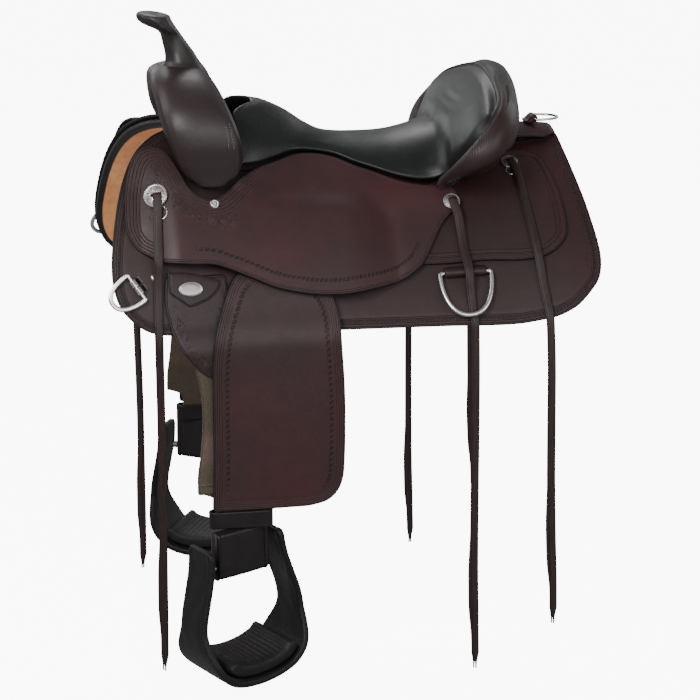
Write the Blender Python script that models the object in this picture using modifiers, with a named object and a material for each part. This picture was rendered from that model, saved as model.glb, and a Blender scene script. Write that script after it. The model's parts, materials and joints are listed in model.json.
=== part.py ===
# Western trail saddle, modelled at real size in metres.
# Head of the horse towards -X, near (left) side towards -Y, +Z up.
# Origin: on the centre line of the horse's back, under the lowest part of the seat.

import bpy
import bmesh
import math
from mathutils import Vector, Matrix

# ----------------------------------------------------------------------------
# Driving dimensions
# ----------------------------------------------------------------------------
HALF_GAP = 0.020            # half of the free channel over the horse's spine
SKIRT_EDGE_Z = -0.175       # height of the lower edge of the skirts
SKIRT_T = 0.0050            # skirt leather
LINING_T = 0.0110           # lining under the skirts
JOCKEY_T = 0.0045           # seat jockey leather
REAR_JOCKEY_T = 0.0044
RIGGING_T = 0.0036
FENDER_T = 0.0050
STRAP_T = 0.0030            # woven stirrup strap
PAD_T = 0.0065              # padded seat cover
GROUND_SEAT_T = 0.0020
BAR_T = 0.0040              # tree bars
COVER_T = 0.0030            # leather over the swell
BINDING_T = 0.0032          # leather over the cantle

PIVOT_X = -0.135            # stirrup bar of the tree
PIVOT_Z = 0.004
HANG_Y = 0.2570             # outer face of the hanging fender
STRAP_Y = 0.2455            # outer face of the stirrup strap
STIRRUP_X = -0.200          # vertical axis about which the stirrup turns
STIRRUP_Y = 0.2500
HOBBLE_Y = 0.2475            # middle of the hobble strap
RIGGING_HANG_Y = 0.2500      # outer face of the rigging leather below the skirt
STIRRUP_TURN = math.radians(28.0)
STIRRUP_LEAN = math.radians(4.5)   # the frame hangs a little askew on its pin
STIRRUP_PLAY = -0.006        # and to one side of its neck
NECK_PIN_Z = -0.512
FENDER_LOW_Z = -0.431

STRING_R = 0.0030           # saddle string: a pair of thongs, drawn as one plain round cord

CONCHO_R_FRONT = 0.018
CONCHO_R_REAR = 0.0125

SIDES = (("left", -1.0), ("right", 1.0))

# ----------------------------------------------------------------------------
# Clean start and collections
# ----------------------------------------------------------------------------
for old in list(bpy.data.objects):
    bpy.data.objects.remove(old, do_unlink=True)

parts = bpy.data.collections.new("trail_saddle")
bpy.context.scene.collection.children.link(parts)
cutters = bpy.data.collections.new("cutters")
bpy.context.scene.collection.children.link(cutters)

# ----------------------------------------------------------------------------
# Materials
# ----------------------------------------------------------------------------
def material(name, color, rough, metal=0.0):
    m = bpy.data.materials.new(name)
    m.use_nodes = True
    b = m.node_tree.nodes["Principled BSDF"]
    b.inputs["Base Color"].default_value = (*color, 1.0)
    b.inputs["Roughness"].default_value = rough
    b.inputs["Metallic"].default_value = metal
    m.diffuse_color = (*color, 1.0)
    return m

BROWN = (0.040, 0.017, 0.016)
BLACK = (0.012, 0.012, 0.013)
TAN = (0.62, 0.20, 0.055)
WOOD = (0.45, 0.32, 0.18)
SILVER = (0.72, 0.71, 0.69)
WEB = (0.075, 0.062, 0.040)


def finish(ob, name, color, rough=0.4, metal=0.0, smooth=True):
    ob.name = name
    ob.data.name = name
    ob.data.materials.clear()
    ob.data.materials.append(material(name, color, rough, metal))
    if smooth and ob.type == "MESH":
        ob.data.shade_smooth()
        ob.data.set_sharp_from_angle(angle=math.radians(35))
    return ob


# ----------------------------------------------------------------------------
# Small maths
# ----------------------------------------------------------------------------
def smooth_fn(xs, ys):
    """Smooth curve through hand-set values (cubic, finite-difference slopes)."""
    n = len(xs)

    def slope(j):
        if j == 0:
            return (ys[1] - ys[0]) / (xs[1] - xs[0])
        if j == n - 1:
            return (ys[-1] - ys[-2]) / (xs[-1] - xs[-2])
        return (ys[j + 1] - ys[j - 1]) / (xs[j + 1] - xs[j - 1])

    def f(x):
        i = 0
        while i < n - 2 and x > xs[i + 1]:
            i += 1
        h = xs[i + 1] - xs[i]
        t = min(max((x - xs[i]) / h, -0.2), 1.2)
        a = 2 * t ** 3 - 3 * t ** 2 + 1
        b = t ** 3 - 2 * t ** 2 + t
        c = -2 * t ** 3 + 3 * t ** 2
        d = t ** 3 - t ** 2
        return a * ys[i] + b * h * slope(i) + c * ys[i + 1] + d * h * slope(i + 1)

    return f


def step(a, b, x):
    t = min(max((x - a) / (b - a), 0.0), 1.0)
    return t * t * (3 - 2 * t)


def path_fn(points):
    """Smooth curve through points of any dimension, over 0..1 by chord length."""
    lens = [0.0]
    for p, q in zip(points, points[1:]):
        lens.append(lens[-1] + math.dist(p, q))
    total = lens[-1]
    ts = [l / total for l in lens]
    comps = [smooth_fn(ts, [p[k] for p in points]) for k in range(len(points[0]))]
    return lambda t: tuple(c(t) for c in comps)


# ----------------------------------------------------------------------------
# The horse's back: every leather layer lies at a height w over this surface.
# x runs along the horse, s runs down from the spine along the leather.
# ----------------------------------------------------------------------------
_X = [-0.36, -0.30, -0.20, -0.10, 0.0, 0.10, 0.20, 0.30, 0.42]
_z0 = smooth_fn(_X, [0.140, 0.122, 0.082, 0.056, 0.045, 0.042, 0.046, 0.056, 0.066])
_p0 = smooth_fn(_X, [36, 34, 30, 27, 25, 24, 23, 22, 22])
_p1 = smooth_fn(_X, [76, 75, 71, 67, 65, 64, 63, 62, 62])


def arc(x):
    z0 = _z0(x)
    p0 = math.radians(_p0(x))
    p1 = math.radians(_p1(x))
    r = (z0 - SKIRT_EDGE_Z) / (math.cos(p0) - math.cos(p1))
    return z0, p0, p1, r


def back(x, s, w, side):
    z0, p0, p1, r = arc(x)
    p = p0 + s / r
    y = HALF_GAP + (r + w) * math.sin(p) - r * math.sin(p0)
    z = z0 + (r + w) * math.cos(p) - r * math.cos(p0)
    return Vector((x, side * y, z))


def edge_s(x):
    z0, p0, p1, r = arc(x)
    return r * (p1 - p0)


def back_y(x, z, w):
    """How far out the layer w is at height z."""
    z0, p0, p1, r = arc(x)
    c = (z - z0 + r * math.cos(p0)) / (r + w)
    return HALF_GAP - r * math.sin(p0) + (r + w) * math.sqrt(max(1 - c * c, 0.0))


def back_z(x, y, w):
    """Height of the layer w at the distance y from the centre plane."""
    z0, p0, p1, r = arc(x)
    sp = (y - HALF_GAP + r * math.sin(p0)) / (r + w)
    return z0 - r * math.cos(p0) + (r + w) * math.sqrt(max(1 - sp * sp, 0.0))


def back_normal(x, s, side):
    h = 1e-3
    a = back(x + h, s, 0, side) - back(x - h, s, 0, side)
    b = back(x, s + h, 0, side) - back(x, s - h, 0, side)
    n = a.cross(b).normalized()
    if n.z < 0 and abs(n.z) > 1e-3:
        n = -n
    if n.y * side < 0:
        n = -n
    return n


# Height of the seat jockey's underside over the skirt: it rides over the tree
# bars at the top and over the fender and its strap further down.
def jockey_w(x, s):
    over_bars = 12.2 * (1 - step(0.105, 0.185, s))
    over_fender = 24.0 * step(-0.335, -0.272, x) * (1 - step(-0.035, 0.055, x)) * step(0.078, 0.155, s)
    over_rear = 1.0 + 5.6 * step(0.015, 0.055, x)
    v = (over_bars ** 4 + over_fender ** 4 + over_rear ** 4) ** 0.25
    return v * 0.001


# ----------------------------------------------------------------------------
# Builders
# ----------------------------------------------------------------------------
def grid_object(name, fn, nu, nv, outward, thickness, color, rough=0.4, metal=0.0):
    """A primitive grid laid on fn(u, v), given its thickness by Solidify."""
    bm = bmesh.new()
    bmesh.ops.create_grid(bm, x_segments=nu, y_segments=nv, size=0.5)
    for v in bm.verts:
        v.co = fn(v.co.x + 0.5, v.co.y + 0.5)
    bm.normal_update()
    total = 0.0
    for f in bm.faces:
        total += f.normal.dot(outward(f.calc_center_median()))
    if total < 0:
        bmesh.ops.reverse_faces(bm, faces=bm.faces[:])
    me = bpy.data.meshes.new(name)
    bm.to_mesh(me)
    bm.free()
    ob = bpy.data.objects.new(name, me)
    parts.objects.link(ob)
    finish(ob, name, color, rough, metal)
    so = ob.modifiers.new("thickness", "SOLIDIFY")
    so.thickness = thickness
    so.offset = -1.0
    so.use_even_offset = True
    return ob


def away_from_horse(side):
    def f(p):
        return Vector((0.0, p.y - side * 0.0, p.z + 0.35)).normalized()
    return f


def coons(front, rear, top, bottom):
    """Patch of four edge curves; u from front to rear, v from top to bottom.
    The end curves only pull on the columns next to them."""
    fr, re, to, bo = path_fn(front), path_fn(rear), path_fn(top), path_fn(bottom)

    def f(u, v):
        a, b, c, d = fr(v), re(v), to(u), bo(u)
        out = []
        for k in range(2):
            ruled = (1 - v) * c[k] + v * d[k]
            da = a[k] - ((1 - v) * front[0][k] + v * front[-1][k])
            db = b[k] - ((1 - v) * rear[0][k] + v * rear[-1][k])
            out.append(ruled + (1 - u) ** 5 * da + u ** 5 * db)
        return out

    return f


def leather(name, patch, side, w_out, thickness, nu, nv, color, rough=0.4):
    def fn(u, v):
        x, s = patch(u, v)
        w = w_out(x, s) if callable(w_out) else w_out
        return back(x, s, w, side)
    return grid_object(name, fn, nu, nv, away_from_horse(side), thickness, color, rough)


def loft(name, rings, color, rough=0.4, metal=0.0, closed_ends=True):
    """Skin over rings of equal point counts."""
    bm = bmesh.new()
    rows = [[bm.verts.new(p) for p in ring] for ring in rings]
    n = len(rows[0])
    for a, b in zip(rows, rows[1:]):
        for i in range(n):
            j = (i + 1) % n
            bm.faces.new((a[i], a[j], b[j], b[i]))
    if closed_ends:
        bm.faces.new(list(reversed(rows[0])))
        bm.faces.new(rows[-1])
    bmesh.ops.recalc_face_normals(bm, faces=bm.faces[:])
    me = bpy.data.meshes.new(name)
    bm.to_mesh(me)
    bm.free()
    ob = bpy.data.objects.new(name, me)
    parts.objects.link(ob)
    return finish(ob, name, color, rough, metal)


def flat_outline(name, loops, half, matrix, color, rough=0.3, metal=0.0):
    """A flat plate: 2D curve outlines (outer loop, then holes), extruded."""
    cu = bpy.data.curves.new(name, "CURVE")
    cu.dimensions = "2D"
    cu.fill_mode = "BOTH"
    cu.extrude = half
    for pts in loops:
        sp = cu.splines.new("POLY")
        sp.points.add(len(pts) - 1)
        for q, p in zip(sp.points, pts):
            q.co = (p[0], p[1], 0, 1)
        sp.use_cyclic_u = True
    tmp = bpy.data.objects.new(name, cu)
    parts.objects.link(tmp)
    tmp.matrix_world = matrix
    bpy.context.view_layer.update()
    dg = bpy.context.evaluated_depsgraph_get()
    me = bpy.data.meshes.new_from_object(tmp.evaluated_get(dg))
    bm = bmesh.new()
    bm.from_mesh(me)
    bmesh.ops.remove_doubles(bm, verts=bm.verts[:], dist=1e-6)
    bmesh.ops.recalc_face_normals(bm, faces=bm.faces[:])
    bm.to_mesh(me)
    bm.free()
    ob = bpy.data.objects.new(name, me)
    parts.objects.link(ob)
    ob.matrix_world = tmp.matrix_world.copy()
    bpy.data.objects.remove(tmp, do_unlink=True)
    return finish(ob, name, color, rough, metal, smooth=False)


def frame_matrix(origin, ex, ey):
    ex = Vector(ex).normalized()
    ez = ex.cross(Vector(ey)).normalized()
    ey = ez.cross(ex).normalized()
    m = Matrix.Identity(4)
    for i in range(3):
        m[i][0], m[i][1], m[i][2], m[i][3] = ex[i], ey[i], ez[i], origin[i]
    return m


def circle(cx, cy, r, n, a0=0.0, a1=360.0):
    full = abs(a1 - a0) >= 359.9
    k = n if full else n - 1
    return [(cx + r * math.cos(math.radians(a0 + (a1 - a0) * i / k)),
             cy + r * math.sin(math.radians(a0 + (a1 - a0) * i / k))) for i in range(n)]


def cord(name, points, spacing=0.017):
    f = path_fn(points)
    length = sum(math.dist(f(i / 200), f((i + 1) / 200)) for i in range(200))
    n = max(6, min(80, int(length / spacing) + 1))
    cu = bpy.data.curves.new(name, "CURVE")
    cu.dimensions = "3D"
    cu.bevel_depth = STRING_R
    cu.bevel_resolution = 2
    cu.use_fill_caps = True
    sp = cu.splines.new("POLY")
    sp.points.add(n - 1)
    for i in range(n):
        sp.points[i].co = (*f(i / (n - 1)), 1)
    ob = bpy.data.objects.new(name, cu)
    parts.objects.link(ob)
    cu.materials.append(material(name, BROWN, 0.5))
    return ob


# ----------------------------------------------------------------------------
# Skirts, linings, jockeys
# ----------------------------------------------------------------------------
SKIRT_FRONT = [(-0.250, 0.004), (-0.272, 0.040), (-0.300, 0.068), (-0.327, 0.105), (-0.345, 0.147),
               (-0.358, 0.196), (-0.367, 0.250), (-0.371, 0.290), (-0.369, 0.322), (-0.360, 0.347),
               (-0.345, 0.362)]
SKIRT_BOTTOM = [(-0.345, 0.362), (-0.325, 0.3715), (-0.300, 0.371), (-0.250, 0.356), (-0.200, 0.340),
                (-0.100, 0.322), (0.0, 0.317), (0.100, 0.318), (0.200, 0.328), (0.240, 0.329),
                (0.262, 0.328), (0.286, 0.320), (0.302, 0.308)]
SKIRT_REAR = [(0.308, 0.004), (0.309, 0.020), (0.312, 0.064), (0.316, 0.107), (0.3215, 0.156),
              (0.326, 0.202), (0.329, 0.237), (0.328, 0.262), (0.321, 0.286), (0.302, 0.308)]
SKIRT_TOP = [(-0.250, 0.004), (0.0, 0.004), (0.308, 0.004)]

skirt_patch = coons(SKIRT_FRONT, SKIRT_REAR, SKIRT_TOP, SKIRT_BOTTOM)


def inset_patch(patch, e):
    def f(u, v):
        return patch(e + (1 - 2 * e) * u, e + (1 - 2 * e) * v)
    return f


JOCKEY_FRONT = [(-0.298, 0.097), (-0.320, 0.108), (-0.334, 0.128), (-0.344, 0.164), (-0.348, 0.205),
                (-0.347, 0.236), (-0.334, 0.258)]
JOCKEY_BOTTOM = [(-0.334, 0.258), (-0.315, 0.266), (-0.296, 0.271), (-0.262, 0.265), (-0.231, 0.256),
                 (-0.211, 0.256), (-0.178, 0.262), (-0.146, 0.270), (-0.110, 0.274), (-0.084, 0.275),
                 (-0.040, 0.273), (0.003, 0.263), (0.045, 0.247), (0.070, 0.230)]
JOCKEY_REAR = [(0.128, 0.104), (0.1365, 0.124), (0.1325, 0.142), (0.116, 0.156), (0.101, 0.177), (0.087, 0.203),
               (0.070, 0.230)]
# along the fork, then just outside the edge of the seat pad
JOCKEY_TOP = [(-0.298, 0.097), (-0.282, 0.104), (-0.269, 0.129), (-0.257, 0.155), (-0.240, 0.1640),
              (-0.220, 0.160), (-0.198, 0.138), (-0.177, 0.109), (-0.153, 0.086), (-0.123, 0.066),
              (-0.092, 0.047), (-0.062, 0.042), (-0.034, 0.048), (-0.008, 0.063), (0.019, 0.075),
              (0.045, 0.089), (0.072, 0.099), (0.100, 0.104), (0.128, 0.104)]
jockey_patch = coons(JOCKEY_FRONT, JOCKEY_REAR, JOCKEY_TOP, JOCKEY_BOTTOM)

REAR_FRONT = [(0.060, 0.120), (0.056, 0.160), (0.060, 0.195), (0.064, 0.226)]
REAR_BOTTOM = [(0.064, 0.226), (0.110, 0.2275), (0.164, 0.2285), (0.215, 0.236), (0.246, 0.237),
               (0.266, 0.230)]
REAR_REAR = [(0.244, 0.040), (0.270, 0.060), (0.281, 0.100), (0.286, 0.140), (0.287, 0.183),
             (0.283, 0.212), (0.266, 0.230)]
REAR_TOP = [(0.060, 0.120), (0.110, 0.085), (0.150, 0.060), (0.200, 0.044), (0.244, 0.040)]
rear_patch = coons(REAR_FRONT, REAR_REAR, REAR_TOP, REAR_BOTTOM)

for tag, side in SIDES:
    leather("skirt_" + tag, skirt_patch, side, 0.0, SKIRT_T, 15, 10, BROWN, 0.35)
    leather("skirt_lining_" + tag, inset_patch(skirt_patch, 0.008), side, -0.0064, LINING_T, 11, 8, TAN, 0.8)
    leather("seat_jockey_" + tag, jockey_patch, side, lambda x, s: jockey_w(x, s) + JOCKEY_T,
            JOCKEY_T, 20, 9, BROWN, 0.35)
    leather("rear_jockey_" + tag, rear_patch, side, 0.0056, REAR_JOCKEY_T, 9, 7, BROWN, 0.35)


# ----------------------------------------------------------------------------
# Tree: bars, fork, cantle; ground seat
# ----------------------------------------------------------------------------
bar_patch = coons([(-0.296, 0.040), (-0.300, 0.062), (-0.292, 0.086)],
                  [(0.148, 0.013), (0.152, 0.026), (0.147, 0.040)],
                  [(-0.296, 0.040), (-0.240, 0.016), (0.0, 0.012), (0.148, 0.013)],
                  [(-0.292, 0.086), (-0.200, 0.092), (-0.150, 0.078), (-0.100, 0.062), (-0.05, 0.052),
                   (0.0, 0.054), (0.10, 0.052), (0.147, 0.040)])
for tag, side in SIDES:
    leather("tree_bar_" + tag, bar_patch, side, 0.0008 + BAR_T, BAR_T, 12, 3, WOOD, 0.7)

# Fork: an arch over the withers, swelling at the shoulders. Outer and gullet
# profiles in the y-z plane, and how far each section reaches in x.
FORK_OUT = [(0.000, 0.1700), (0.026, 0.1695), (0.054, 0.1660), (0.082, 0.1590), (0.108, 0.1465), (0.130, 0.1280),
            (0.143, 0.1040), (0.146, 0.0770), (0.142, 0.0510), (0.138, 0.0300), (0.136, 0.0140)]
FORK_IN = [(0.000, 0.1290), (0.017, 0.1280), (0.035, 0.1245), (0.052, 0.1175), (0.067, 0.1075), (0.080, 0.0965),
           (0.091, 0.0850), (0.101, 0.0740), (0.109, 0.0635), (0.116, 0.0540), (0.121, 0.0460)]
FORK_FRONT = [-0.295, -0.2960, -0.2965, -0.2955, -0.2935, -0.2910, -0.287, -0.280, -0.272, -0.264, -0.254]
FORK_REAR = [-0.217, -0.213, -0.208, -0.203, -0.197, -0.190, -0.183, -0.1775, -0.1755, -0.1785, -0.187]


def fork_ring(t, inset, n=16):
    """Section of the fork arch at t (-1 right foot, 0 top, 1 left foot)."""
    a = abs(t) * (len(FORK_OUT) - 1)
    idx = list(range(len(FORK_OUT)))
    oy = smooth_fn(idx, [p[0] for p in FORK_OUT])(a)
    oz = smooth_fn(idx, [p[1] for p in FORK_OUT])(a)
    iy = smooth_fn(idx, [p[0] for p in FORK_IN])(a)
    iz = smooth_fn(idx, [p[1] for p in FORK_IN])(a)
    xf = smooth_fn(idx, FORK_FRONT)(a)
    xr = smooth_fn(idx, FORK_REAR)(a)
    sg = 1.0 if t >= 0 else -1.0
    o = Vector((0, -sg * oy, oz))
    i = Vector((0, -sg * iy, iz))
    if a < 1e-9:
        o.y = i.y = 0.0
    mid = (o + i) / 2
    rad = (o - i) / 2
    hr = rad.length - inset
    rad = rad.normalized()
    hx = (xr - xf) / 2 - inset
    cx = (xf + xr) / 2
    ring = []
    for k in range(n):
        ang = 2 * math.pi * k / n
        c, s = math.cos(ang), math.sin(ang)
        e = 2.0 / 2.6
        px = math.copysign(abs(c) ** e, c) * hx
        pr = math.copysign(abs(s) ** e, s) * hr
        ring.append(Vector((cx + px, 0, 0)) + mid + rad * pr)
    return ring


ts = [-1 + 2 * i / 24 for i in range(25)]
cover = loft("swell_cover", [fork_ring(t, 0.0) for t in ts], BROWN, 0.25, closed_ends=False)
so = cover.modifiers.new("thickness", "SOLIDIFY")
so.thickness = COVER_T
so.offset = -1.0
loft("tree_fork", [fork_ring(t, COVER_T + 0.0016 + 0.0060 * abs(t) ** 3, 12) for t in ts[4:-4]], WOOD, 0.7)

# Horn: neck and dished cap, leaning forwards
HORN = [(-0.2460, 0.1715, 0.0270, 0.0260, 0), (-0.2520, 0.1860, 0.0205, 0.0195, 4),
        (-0.2595, 0.2030, 0.0168, 0.0165, 12), (-0.2650, 0.2160, 0.0180, 0.0175, 18),
        (-0.2715, 0.2250, 0.0240, 0.0235, 21), (-0.2790, 0.2320, 0.0335, 0.0320, 22),
        (-0.2825, 0.2395, 0.0350, 0.0335, 21), (-0.2820, 0.2440, 0.0300, 0.0290, 20),
        (-0.2810, 0.2460, 0.0170, 0.0165, 19)]
rings = []
for cx, cz, hx, hy, tilt in HORN:
    a = math.radians(tilt)
    ring = []
    for k in range(18):
        g = 2 * math.pi * k / 18
        ring.append(Vector((cx - hx * math.cos(g) * math.cos(a), hy * math.sin(g),
                            cz + hx * math.cos(g) * math.sin(a))))
    rings.append(ring)
loft("horn", rings, BROWN, 0.35)

# Seat: cross sections from the fork to the top of the cantle.
# (centre x, centre z, edge x, edge y, edge z, fall-off exponent)
SEAT = [(-0.146, 0.1130, -0.1745, 0.108, 0.0405, 3.5),
        (-0.121, 0.1045, -0.1485, 0.100, 0.0420, 3.0),
        (-0.096, 0.0940, -0.1200, 0.084, 0.0470, 2.4),
        (-0.070, 0.0780, -0.0890, 0.067, 0.0530, 2.0),
        (-0.045, 0.0658, -0.0600, 0.063, 0.0520, 2.0),
        (-0.020, 0.0608, -0.0330, 0.068, 0.0470, 2.0),
        (0.005, 0.0598, -0.0070, 0.082, 0.0370, 2.1),
        (0.030, 0.0594, 0.0200, 0.094, 0.0290, 2.2),
        (0.055, 0.0608, 0.0460, 0.105, 0.0205, 2.3),
        (0.080, 0.0655, 0.0720, 0.114, 0.0150, 2.4),
        (0.103, 0.0715, 0.1000, 0.119, 0.0140, 2.7),
        (0.123, 0.0785, 0.1180, 0.125, 0.0210, 3.0),
        (0.140, 0.0890, 0.1290, 0.1465, 0.0390, 3.2),
        (0.153, 0.1000, 0.1400, 0.1680, 0.0600, 3.4),
        (0.165, 0.1120, 0.1510, 0.1790, 0.0820, 3.3),
        (0.177, 0.1250, 0.1610, 0.1800, 0.0970, 2.7),
        (0.1875, 0.1415, 0.1700, 0.1710, 0.1090, 1.9)]
_k = list(range(len(SEAT)))
_seat = [smooth_fn(_k, [row[c] for row in SEAT]) for c in range(6)]


def seat_top(u, t, drop=0.0):
    """u: 0 at the fork, 1 at the cantle rim; t: -1..1 across (1 = left)."""
    a = u * (len(SEAT) - 1)
    xc, zc, xe, ye, ze, p = [f(a) for f in _seat]
    m = abs(t)
    end = step(len(SEAT) - 2.4, len(SEAT) - 1.0, a)
    front = 1 - step(0.0, 3.0, a)
    bend = m ** 2 * (1 - end) + m ** 4.5 * end
    bend = bend * (1 - front) + m * m * (3 - 2 * m) * front
    return Vector((xc + (xe - xc) * bend, -t * ye, zc + (ze - zc) * m ** p - drop))


def up(p):
    return Vector((0.0, 0.0, 1.0))


grid_object("seat_pad", lambda u, v: seat_top(u, 2 * v - 1), 24, 10, up, PAD_T, BLACK, 0.35)


def ground_fn(u, v):
    uu = 0.02 + 0.86 * u
    tt = (2 * v - 1) * 0.70
    h = 1e-3
    p = seat_top(uu, tt)
    a = seat_top(uu + h, tt) - seat_top(uu - h, tt)
    b = seat_top(uu, tt + h) - seat_top(uu, tt - h)
    n = a.cross(b).normalized()
    if n.z < 0:
        n = -n
    return p - n * (PAD_T + 0.0027)


grid_object("ground_seat", ground_fn, 14, 6, up, GROUND_SEAT_T, WOOD, 0.6)

# Cantle: leather binding over a wooden cantle. Rim path, half of it.
RIM = [(0.1125, 0.1255, 0.0150), (0.1205, 0.1310, 0.0230), (0.1310, 0.1525, 0.0405), (0.1430, 0.1745, 0.0620),
       (0.1560, 0.1855, 0.0850), (0.1670, 0.1850, 0.1010), (0.1780, 0.1740, 0.1150), (0.1870, 0.1560, 0.1240),
       (0.1935, 0.1280, 0.1325), (0.1970, 0.0880, 0.1415), (0.1982, 0.0440, 0.1490), (0.1985, 0.0, 0.1525)]
rim_full = [(x, -y, z) for x, y, z in RIM] + [(x, y, z) for x, y, z in reversed(RIM[:-1])]
rim_fn = path_fn(rim_full)
_kv = smooth_fn([0, 0.056, 0.149, 0.225, 0.305, 0.5], [0.24, 0.34, 0.64, 0.90, 1.0, 1.0])
_kr = smooth_fn([0, 0.093, 0.233, 0.365, 0.5], [0.36, 0.47, 0.62, 0.85, 1.0])
BIND = [(0.0, -0.010), (0.0, 0.0005), (0.006, 0.0050), (0.018, 0.0065), (0.032, 0.0010),
        (0.041, -0.0120), (0.044, -0.0270), (0.041, -0.0420), (0.032, -0.0530), (0.021, -0.0580)]
_bind_top = smooth_fn([0.0, 0.006, 0.018, 0.032, 0.041], [0.0005, 0.0050, 0.0065, 0.0010, -0.0120])


def rim_frame(t):
    p = Vector(rim_fn(t))
    q = Vector(rim_fn(min(t + 0.04, 1.0))) - Vector(rim_fn(max(t - 0.04, 0.0)))
    out = Vector((q.y, -q.x, 0.0)).normalized()
    if out.dot(Vector((p.x - 0.10, p.y, 0.0))) < 0:
        out = -out
    out = (out + Vector((0.0, 0.5 * math.copysign(1.0, p.y) * (1 - step(0.045, 0.148, min(t, 1 - t))), 0.0))).normalized()
    m = min(t, 1 - t)
    return p, out, _kr(m), _kv(m)


def binding_fn(u, v):
    p, out, kr, kv = rim_frame(u)
    f = path_fn(BIND)(min(v / 0.75, 1.0))
    q = p + out * (f[0] * kr) + Vector((0, 0, f[1] * kv))
    if v > 0.75:
        # the back of the cantle, down to the leather over the bars
        k = (v - 0.75) / 0.25
        foot = p + out * (0.0210 * kr)
        foot.y *= 1 - 0.38 * step(0.018, 0.140, min(u, 1 - u)) - 0.04 * step(0.15, 0.24, min(u, 1 - u))
        w = 0.0085 + 0.0120 * step(0.104, 0.120, abs(foot.y)) * (1 - step(0.150, 0.165, foot.x))
        foot.z = min(back_z(foot.x, abs(foot.y), w), q.z - 0.0015)
        q = q.lerp(foot, k)
    return q


def from_rim_core(p):
    best = min((rim_fn(i / 40) for i in range(41)), key=lambda q: math.dist(q, p))
    c = Vector(best) + Vector((0, 0, -0.022))
    m = Vector((best[0] - 0.10, best[1], 0)).normalized() * 0.016
    return (p - c - m).normalized()


grid_object("cantle_binding", binding_fn, 30, 12, from_rim_core, BINDING_T, BROWN, 0.35)

rings = []
for i in range(17):
    t = 0.21 + 0.58 * i / 16
    p, out, kr, kv = rim_frame(t)
    r0, r1 = 0.0066, 0.0390 * kr - 0.0110
    section = []
    for k in range(5):
        rr = r0 + (r1 - r0) * k / 4
        section.append((rr, _bind_top(rr / kr) * kv - 0.0070))
    section += [(r1 - 0.0015, -0.0360 * kv), ((r0 + r1) / 2, -0.0420 * kv), (r0, -0.0380 * kv)]
    rings.append([p + out * a + Vector((0, 0, c)) for a, c in section])
loft("tree_cantle", rings, WOOD, 0.7)


# Leather bridge over the spine behind the cantle, with the crupper dee
def bridge_fn(u, v):
    x = 0.236 + 0.069 * u
    zc = smooth_fn([0, 0.4, 0.75, 1.0], [0.0660, 0.0660, 0.0645, 0.0628])(u)
    y = (2 * v - 1) * (0.046 - 0.010 * step(0.7, 1.0, u))
    return Vector((x, y, zc - 5.2 * y * y))


grid_object("rear_bridge", bridge_fn, 7, 8, up, 0.0042, BROWN, 0.4)


def dee_loops(half_w, depth, wire, bar, n=22, power=2.3):
    """Outer and inner outline of a D: bar along x at y=0, bow towards -y."""
    outer, inner = [], []
    hw = half_w
    for i in range(n + 1):
        a = math.pi * i / n
        c, s = math.cos(a), math.sin(a)
        e = 2.0 / power
        ox = math.copysign(abs(c) ** e, c) * hw
        oy = -(abs(s) ** e) * depth
        outer.append((ox, oy))
        inner.append((math.copysign(abs(c) ** e, c) * (hw - wire), -(abs(s) ** e) * (depth - wire)))
    outer = [(outer[0][0] * 0.93, bar)] + outer + [(outer[-1][0] * 0.93, bar)]
    inner = [(x, min(y, -bar)) for x, y in inner]
    clean = []
    for p in inner:
        if not clean or math.dist(p, clean[-1]) > 4e-4:
            clean.append(p)
    return [outer, list(reversed(clean))]


def loop_tab(flap, hole, skin, flap_t):
    """Side view of a tab folded round a bar; the bar's axis is the origin."""
    ro = hole + skin
    outer = [(-flap, -ro)] + circle(0, 0, ro, 13, -90, 90) + [(-ro * 0.9, ro * 0.55), (-flap, -ro + flap_t)]
    return [outer, circle(0, 0, hole, 16)]


# crupper dee lies flat behind the cantle
flat_outline("crupper_dee", dee_loops(0.0235, 0.0400, 0.0040, 0.0022), 0.0019,
             frame_matrix((0.2780, 0.0, 0.0732), (0, 1, 0), (-1, 0, 0)), SILVER, 0.25, 1.0)
flat_outline("crupper_dee_tab", loop_tab(0.014, 0.0034, 0.0024, 0.0026), 0.0125,
             frame_matrix((0.2780, 0.0, 0.0732), (1, 0, 0), (0, 0, 1)), BROWN, 0.5)

# ----------------------------------------------------------------------------
# Rigging, fender, strap, dees, per side
# ----------------------------------------------------------------------------
_rig_left = smooth_fn([-0.234, -0.225, -0.208, -0.190, -0.169, -0.132, -0.096],
                      [-0.240, -0.252, -0.268, -0.281, -0.291, -0.299, -0.297])
_rig_right = smooth_fn([-0.234, -0.200, -0.160, -0.096], [-0.214, -0.206, -0.206, -0.212])


def rigging_fn(side):
    def f(u, v):
        z = -0.096 - 0.138 * v
        xl, xr = _rig_left(z), _rig_right(z)
        x = xl + (xr - xl) * u
        on = back_y(x, max(z, -0.1745), 0.0010 + RIGGING_T)
        k = step(0.158, 0.200, -z)
        return Vector((x, side * (on * (1 - k) + RIGGING_HANG_Y * k), z))
    return f


# fender: profile down the leather, outer face
FEND = []
for s, w in ((0.130, 0.0122), (0.150, 0.0132), (0.180, 0.0146), (0.210, 0.0156), (0.240, 0.0160),
             (0.270, 0.0160), (0.295, 0.0158)):
    p = back(PIVOT_X, s, w, 1.0)
    FEND.append((p.z, p.y))
FEND += [(-0.165, 0.2500), (-0.183, 0.2560), (-0.205, 0.2571), (-0.240, HANG_Y), (-0.350, HANG_Y), (FENDER_LOW_Z, HANG_Y)]
FEND = sorted(FEND)
_fend_y = smooth_fn([p[0] for p in FEND], [p[1] for p in FEND])
FEND_TOP_Z = FEND[-1][0]
_fl = smooth_fn([-0.431, -0.390, -0.354, -0.268, -0.212, -0.169, -0.129, -0.104, -0.088, -0.070, -0.050, 0.020],
                [-0.2410, -0.2395, -0.2385, -0.238, -0.237, -0.231, -0.2165, -0.205, -0.189, -0.171, -0.161, -0.157])
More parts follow.
